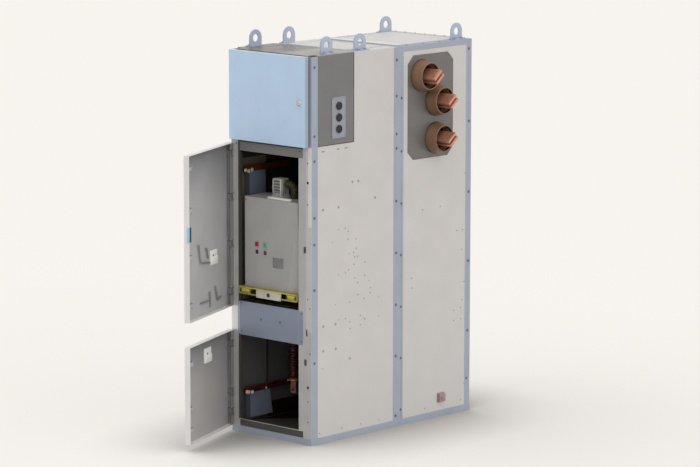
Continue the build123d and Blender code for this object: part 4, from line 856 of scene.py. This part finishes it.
# front frame: seal, screws, plugs and latches
frontFrame = {
    "sealAcross": (-268.0, -256.4), "sealHeight": 2.4, "sealDepth": 23.0, "sealLevels": (84, 1768),
    "edgeWidth": 516, "middleEdge": 796.5, "sillEdge": 81,
    "flange": (18, 196), "flangePlace": (-264, 698),
    "panelScrew": 8.5, "panelScrews": [(-248, 789), (-248, 620), (246, 781), (246, 614)],
    "panelPlugs": [(-85, 706), (71, 708)],
    "stilePlugs": [
        (296, 1676), (296, 1433), (296, 872), (314, 819), (314, 551), (298, 262), (298, 139), (232, 1740), (-284, 1740),
    ],
    "stileHoles": [(297, 1561), (298, 346)],
    "slot": (288, 673), "slotSize": (9, 42),
    "latches": [(274, 1164), (279, 495)],
}


def dressFront(values):
    # a rubber seal on the stile's inner edge; its black also paints the shade that falls on the stile's return
    left, right = values["sealAcross"]
    tall, deep = values["sealHeight"], values["sealDepth"]
    face = frontPlane
    profile = [
        (left, face), (left, face - 0.6 * tall), (left + 2, face - tall), (right - 2, face - tall),
        (right, face - 0.4 * tall), (right, face + deep), (right - 2.4, face + deep), (right - 2.4, face),
    ]
    seal = extruded(profile, np.linspace(*values["sealLevels"], 12))
    addPiece("door_seal_and_shade", seal, "cubicle", "black_rubber", "seal_rubber")

    def onFront(shape, places):
        return fixed(shape, "front", faces["front"], places)

    # painted highlights: an edge strip along the panel's top and a flange at its left end, both in the posts' blue,
    # lighter than the panel's painted shade
    edge = onFront(slab(values["edgeWidth"], 3, 1.6, 0.8, 0.5), [(0, values["middleEdge"])])
    addPiece("middle_panel_edge", edge, "cubicle", "blue_paint")
    flange = onFront(slab(*values["flange"], 3.4, 2, 0.8), [values["flangePlace"]])
    addPiece("middle_panel_flange", flange, "cubicle", "blue_paint")
    screws = onFront(panScrew(values["panelScrew"]), values["panelScrews"])
    addPiece("middle_panel_screws", screws, "cubicle", "dark_steel")
    stopper = turned([(8, 0), (8, 0.8), (6.6, 2.2), (4.8, 2.2), (3.8, 1.0)], 20)
    addPiece("middle_panel_plugs", onFront(stopper, values["panelPlugs"]), "cubicle", "black_plastic", "dull_blue")
    stopper = turned([(4.6, 0), (4.6, 0.7), (3.4, 1.3), (2.2, 0.6)], 16)
    addPiece("stile_plugs", onFront(stopper, values["stilePlugs"]), "cubicle", "dark_steel")
    eyelet = turned([(8.5, 0), (8.5, 0.8), (7.2, 1.4), (5.6, 0.5)], 20)
    slot = stepped(*values["slotSize"], 4.4, [(0, 0), (0, 0.8), (1.2, 1.4), (2.4, 0.4)])
    eyelets = joined(onFront(eyelet, values["stileHoles"]), onFront(slot, [values["slot"]]))
    addPiece("stile_eyelets", eyelets, "cubicle", "black_rubber")
    hook = joined(slab(17, 38, 3, 3, 0.8), slab(9, 22, 5.6, 3, 1.4))
    addPiece("latch_keepers", onFront(hook, values["latches"]), "cubicle", "dark_steel")
    edge = onFront(slab(values["edgeWidth"], 3.2, 1.6, 0.8, 0.5), [(0, values["sillEdge"])])
    addPiece("sill_edge", edge, "cubicle", "zinc_steel", "pale_steel")


dressFront(frontFrame)
print("front frame done")

# doors
doorDetails = {
    "catches": {"upper": (862, 1145, 1421, 1666), "lower": (126, 251, 518)},
    "catchAlong": 616, "catchDown": 2.1,
    "pockets": {"upper": (226, 1090), "lower": (320, 518)},
    "pocketSize": (102, 88),
    "handle": 1282, "grip": (14.6, 92), "gripPlace": (639.9, 7.0),  # along the leaf, and behind its rim
    "case": (26, 88, 13), "casePlace": (624.5, 13.0),
}


def dressDoor(values, side):
    # catches: a strike plate with a low roller on each latch lug; pocket: a card back, papers and a folded front
    name, body = side + "_door", side + "_door_leaf"
    plate = slab(36, 24, 2.6, 4, 0.8)
    roller = copies(turned([(7, 0), (7, 3.0), (5.4, 3.3), (3.4, 3.3), (2.6, 1.0)], 18), [(8, 0, 0)])
    places = [(values["catchAlong"], level) for level in values["catches"][side]]
    catches = fixed(joined(plate, roller), "leaf", values["catchDown"], places)
    addPiece(name + "_catches", catches, body, "chrome_metal", "strike_zinc")
    width, rise = values["pocketSize"]
    back = slab(width, rise, 1.6, 6, 0.5)
    papers = copies(slab(width - 22, rise - 12, 2.4, 2, 0.6), [(0, 2, 1.5)])
    fold = copies(slab(width - 6, 0.56 * rise, 5.2, 8, 1.8), [(0, -0.2 * rise, 3.6)])
    clips = copies(slab(9, 12, 7.2, 2, 1), [(-14, 12, 0.2), (12, 2, 0.2), (-4, -20, 0.2)])
    pocket = [values["pockets"][side]]
    addPiece(name + "_card_clips", fixed(clips, "leaf", faces["leafSheet"], pocket), body, "stainless")
    holder = fixed(joined(back, papers, fold), "leaf", faces["leafSheet"], pocket)
    addPiece(name + "_card_holder", holder, body, "white_card", "holder_white", (name + "_pocket",))


def dressHandle(values):
    along, down = values["gripPlace"]
    grip = stepped(*values["grip"], 5, [(0, 0), (0, 2.6), (1.2, 4.4), (3.2, 5.0)])
    grip = fixed(grip, "leafEdge", down, [(along, values["handle"])])
    addPiece("door_grip", grip, "upper_door_leaf", "blue_plastic", stands=("door_handle",))
    along, down = values["casePlace"]
    case = fixed(slab(*values["case"], 4, 2), "leaf", down, [(along, values["handle"])])
    addPiece("door_latch_case", case, "upper_door_leaf", "black_plastic", "handle_case")


dressDoor(doorDetails, "upper")
dressDoor(doorDetails, "lower")
dressHandle(doorDetails)
print("doors done")

# breaker truck: cover, controls, plug, hose and front
cover = {
    "face": 16.1,
    "columns": (-130, -63), "buttonLevel": 1152, "windowLevel": 1106,
    "plate": (42, 1056), "plateSize": (86, 62),
    "screws": [(-222, 1412), (-222, 912), (8, 1080), (76, 1080), (8, 1032), (76, 1032)],
    "grip": (32, 1435.5), "gripSize": (184, 12, 18), "gripFace": 49,
}
plug = {
    "place": (-36, 1487.5), "size": (72, 115), "back": 151, "face": 91.3, "sideDepth": 121,
    "ribs": (-22, -4, 14, 32), "fins": (103.0, 116, 129, 142), "footLevel": 1438.2, "footDepth": 155,
}
hose = {
    "foot": (62.0, 134.0), "levels": (1430.5, 1474), "bend": 38.0, "end": 1.0,  # up, round a quarter, and across
    "radius": 21.5, "rib": 2.6, "pitch": 9.5,
}


def dressCover(values):
    def onCover(shape, places, lift=0.0):
        return fixed(shape, "front", values["face"] + lift, places)

    buttons = [(column, values["buttonLevel"]) for column in values["columns"]]
    windows = [(column, values["windowLevel"]) for column in values["columns"]]
    button = stepped(29, 29, 5, [(0, 0), (0, 3.2), (1.4, 4.6), (5, 5.2), (9, 4.4)])
    for kind, place, slot in zip(("open", "close"), buttons, ("red_plastic", "green_plastic")):
        addPiece(kind + "_push_button", onCover(button, [place]), "breaker_truck", slot, stands=(kind + "_button",))
    bezels = joined(onCover(framed(37, 37, 3.2, 2.4, 6), buttons), onCover(framed(31, 31, 3.4, 2.2, 4), windows))
    addPiece("control_bezels", bezels, "breaker_truck", "cover_grey")
    glass = onCover(slab(25, 25, 1.4, 2, 0.4), windows)
    addPiece("state_window_glass", glass, "breaker_truck", "black_plastic", stands=("state_windows",))
    across, level = windows[1]
    flag = onCover(slab(11, 7, 0.5, 1, 0.2), [(across, level + 3)], -1.4)
    addPiece("state_flag", flag, "breaker_truck", "red_plastic")
    plate = onCover(slab(*values["plateSize"], 1.6, 3, 0.5), [values["plate"]])
    addPiece("cover_plate", plate, "breaker_truck", "cover_grey", "plate_grey")
    addPiece("cover_screws", onCover(panScrew(8), values["screws"]), "breaker_truck", "dark_steel")


def dressPlug(values):
    # a box with a raised frame, a sunken face, a bright latch bar, fins on its side and a foot
    across, level = values["place"]
    width, rise = values["size"]
    face, side, deep = values["face"], across + width / 2, values["sideDepth"]
    body = stepped(width, rise, 5, [(0, 0), (0, 56), (1.5, 59), (3, 60)])
    body = fixed(body, "front", values["back"], [(across, level)])
    rim = fixed(framed(width - 2, rise - 18, 9, 4.5, 4), "front", face, [(across, level + 8)])
    places = [(across, level + step) for step in values["ribs"]]
    ribs = fixed(slab(width - 30, 5, 3.4, 1, 0.8), "front", face - 0.1, places)
    sideRim = fixed(framed(56, rise - 18, 7, 3.5, 3), "right", side - 0.2, [(deep, level + 8)])
    foot = fixed(slab(width + 12, 16, 68, 2, 1.5), "front", values["footDepth"], [(across, values["footLevel"])])
    block = fixed(slab(14, 22, 24, 2, 1.2), "front", 122, [(across - width / 2 - 6, level + 2)])
    fins = fixed(slab(5, rise - 26, 2.6, 1, 0.8), "right", 0.0, [(depth, level + 6) for depth in values["fins"]])
    front = fixed(slab(width - 22, rise - 38, 1.0, 2, 0.4), "front", face - 0.2, [(across, level + 8)])
    flank = fixed(slab(42, rise - 32, 0.9, 2, 0.4), "right", side - 0.1, [(deep, level + 8)])
    addPiece("control_plug_recess", joined(front, flank), "breaker_truck", "black_plastic", "recess_grey")
    whole = joined(body, rim, ribs, foot, block, fins, sideRim)
    addPiece("control_plug_body", whole, "breaker_truck", "cover_grey", "plug_grey", ("control_plug",))
    bar = fixed(slab(6, rise - 16, 7.5, 2, 1.2), "front", face - 0.1, [(side - 5, level + 6)])
    addPiece("control_plug_latch", bar, "breaker_truck", "chrome_metal", "catch_zinc")


def dressHose(values):
    # a tube up from its foot, round a quarter turn and across; radius = middle + rib x cos(2 pi x way gone / pitch)
    across, depth = values["foot"]
    low, high = values["levels"]
    bend = values["bend"]
    rise = np.stack([np.full(60, across), np.linspace(low, high, 60)], -1)
    angle = np.linspace(0, np.pi / 2, 90)[1:]
    arc = np.stack([across - bend + bend * np.cos(angle), high + bend * np.sin(angle)], -1)
    run = np.stack([np.linspace(across - bend, values["end"], 40)[1:], np.full(39, high + bend)], -1)
    flat = np.concatenate([rise, arc, run])
    path = np.insert(flat, 1, depth + frontPlane, axis=1)
    gone = np.concatenate([[0], np.cumsum(np.linalg.norm(np.diff(path, axis=0), axis=1))])
    radii = values["radius"] + values["rib"] * np.cos(2 * np.pi * gone / values["pitch"])
    shape = tube(path, radii, 28)
    addPiece("control_hose", shape, "breaker_truck", "olive_plastic", "hose_olive", ("plug_harness",), sharp=60)


def dressGrip(values):
    # the bar across the cover's upper edge, its metal painted matte white as a painted highlight
    grip = fixed(slab(*values["gripSize"], 3, 2), "front", values["gripFace"], [values["grip"]])
    addPiece("cover_grip_bar", grip, "breaker_truck", "chrome_metal", "holder_white", ("cover_grip",))


truckFront = {
    "plateFace": -16.9, "baseFace": -13.9,
    "crank": (-8, 862),
    "screws": [(-98, 880), (-98, 845), (82, 880), (82, 845)],
    "handles": [(-196, 874), (176, 874)], "knuckles": [(-236, 868), (-150, 866), (140, 866), (212, 868)],
    "lip": (-18, 888), "lipSize": (452, 5, 5),
}


def dressTruckFront(values):
    # crank socket in the plate, and a folding handle with a dark knuckle beside each recess
    socket = turned([(12.5, 0), (12.5, 1.4), (11.4, 2.2), (9.6, 2.2), (8.8, 0.4)], 28)
    handle = stepped(54, 17, 7, [(0, 0), (0, 6), (2.4, 9), (5, 10)])
    plate, base = values["plateFace"], values["baseFace"]
    rows = [
        ("crank_socket", socket, plate, [values["crank"]], "black_plastic", None),
        ("truck_handles", handle, base, values["handles"], "yellow_zinc", "bright_yellow"),
        ("truck_knuckles", slab(7, 20, 6, 2, 1), base, values["knuckles"], "black_plastic", None),
        ("truck_lip", slab(*values["lipSize"], 1.5, 1), base, [values["lip"]], "yellow_zinc", "bright_yellow"),
        ("truck_plate_screws", panScrew(7), plate, values["screws"], "zinc_steel", None),
    ]
    for name, shape, face, places, slot, finish in rows:
        addPiece(name, fixed(shape, "front", face, places), "breaker_truck", slot, finish)


dressCover(cover)
dressPlug(plug)
dressHose(hose)
dressGrip(cover)
dressTruckFront(truckFront)
print("truck done")

# inside the compartments
inside = {
    "nearBolts": [(90, 224), (106, 220), (136, 217), (84, 1570), (110, 1563), (138, 1568)],
    "farBolts": [(256, 226), (446, 244)],
    "columnsAcross": (-168, -18, 132), "columnDepth": 370, "columnLevels": (290.0, 804.0),
    "shedPitch": 34, "shedRadius": 37.5, "coreRadius": 29,
    "clampLevel": 272, "lugLevel": 215, "lugFace": 361.5,
    "foldDepth": 285, "foldLevels": (44, 800),
    "mat": [(-286, -500), (-139, -335), (60, -80), (-286, -80)],
    "trough": (340, 88, 22), "troughPlace": (470, 86),
    "skirt": (36, 600), "skirtPlaces": [(-304, 340), (304, 340)],
}


def dressInside(values):
    near = fixed(hexBolt(14, 1.7), "right", faces["bracket"], values["nearBolts"])
    far = fixed(hexBolt(9, 1.5), "right", faces["bracket"], values["farBolts"])
    addPiece("earth_bar_bolts", joined(near, far), "cubicle", "zinc_steel", "cream_zinc")
    # ribbed columns: the radius swings between core and shed every pitch, thin at the tip of each shed
    low, high = values["columnLevels"]
    height = np.linspace(low, high, 260)
    swing = np.abs(np.sin(np.pi * (height - low) / values["shedPitch"])) ** 3
    radius = values["coreRadius"] + (values["shedRadius"] - values["coreRadius"]) * swing
    feet = [(across, values["columnDepth"]) for across in values["columnsAcross"]]
    columns = fixed(turned(np.stack([radius, height], -1), 40), "up", 0, feet)
    addPiece("cable_columns", columns, "cubicle", "red_resin", "maroon_resin", ("cable_insulators",), sharp=60)
    clamps = fixed(turned([(30, 0), (30, 6), (24, 14), (18, 18)], 32), "up", values["clampLevel"], feet)
    addPiece("cable_clamps", clamps, "cubicle", "copper")
    lugs = [(across, values["lugLevel"]) for across in values["columnsAcross"]]
    addPiece("cable_lug_bolts", fixed(hexBolt(13, 1.5), "front", values["lugFace"], lugs), "cubicle", "dark_steel")
    # a pressed stiffener on the left wall, and a black mat and trough at the cable entry, painted shade on the floor
    # and wall
    section = [(-322.8, -12), (-312, -7), (-311, 0), (-312, 7), (-322.8, 12)]
    fold = fixed(extruded(section, np.linspace(*values["foldLevels"], 6)), "up", 0, [(0, values["foldDepth"])])
    addPiece("wall_stiffener", fold, "cubicle", "grey_paint", "cell_shade_paint")
    skirts = fixed(slab(*values["skirt"], 1.6, 2, 0.5), "up", faces["cellFloor"], values["skirtPlaces"])
    addPiece("floor_skirts", skirts, "cubicle", "dark_steel", "cell_shade_paint")
    mat = extruded(values["mat"], [faces["cellFloor"], faces["cellFloor"] + 1.5])
    trough = fixed(slab(*values["trough"], 3, 2), "right", -322.5, [values["troughPlace"]])
    addPiece("cable_entry_shade", joined(mat, trough), "cubicle", "black_rubber", "recess_shade_black")


dressInside(inside)
print("compartments done")

# left side and rear
hiddenSides = {
    "levels": (90, 2280, 205),  # first, limit and step
    "leftColumns": (70, 640, 800, 1350), "rearColumns": (-300, 0, 300),
    "seams": (795, 1550), "seamSize": (614, 5),
    "pullSize": (96, 36), "pullsAcross": (-170, 170), "pullLevels": (420, 1170, 1925),
}


def dressHiddenSides(values):
    levels = np.arange(*values["levels"])
    places = [(depth, level) for depth in values["leftColumns"] for level in levels]
    addPiece("left_panel_screws", fixed(screw, "left", -faces["side"], places), "cubicle", "dark_steel")
    seam = slab(*values["seamSize"], 1.2, 1, 0.4)
    seams = fixed(seam, "back", faces["rear"], [(0, level) for level in values["seams"]])
    addPiece("rear_cover_seams", seams, "cubicle", "black_rubber", "seal_rubber")
    cup = stepped(*values["pullSize"], 9, [(0, 0), (0, 1.6), (2, 2.2), (5, 2.2), (7, 0.6)])  # let into the covers
    places = [(across, level) for across in values["pullsAcross"] for level in values["pullLevels"]]
    addPiece("rear_cover_pulls", fixed(cup, "back", faces["rear"], places), "cubicle", "dark_steel")
    places = [(across, level) for across in values["rearColumns"] for level in levels]
    addPiece("rear_cover_screws", fixed(screw, "back", faces["rear"], places), "cubicle", "dark_steel")


dressHiddenSides(hiddenSides)
print("hidden sides done")
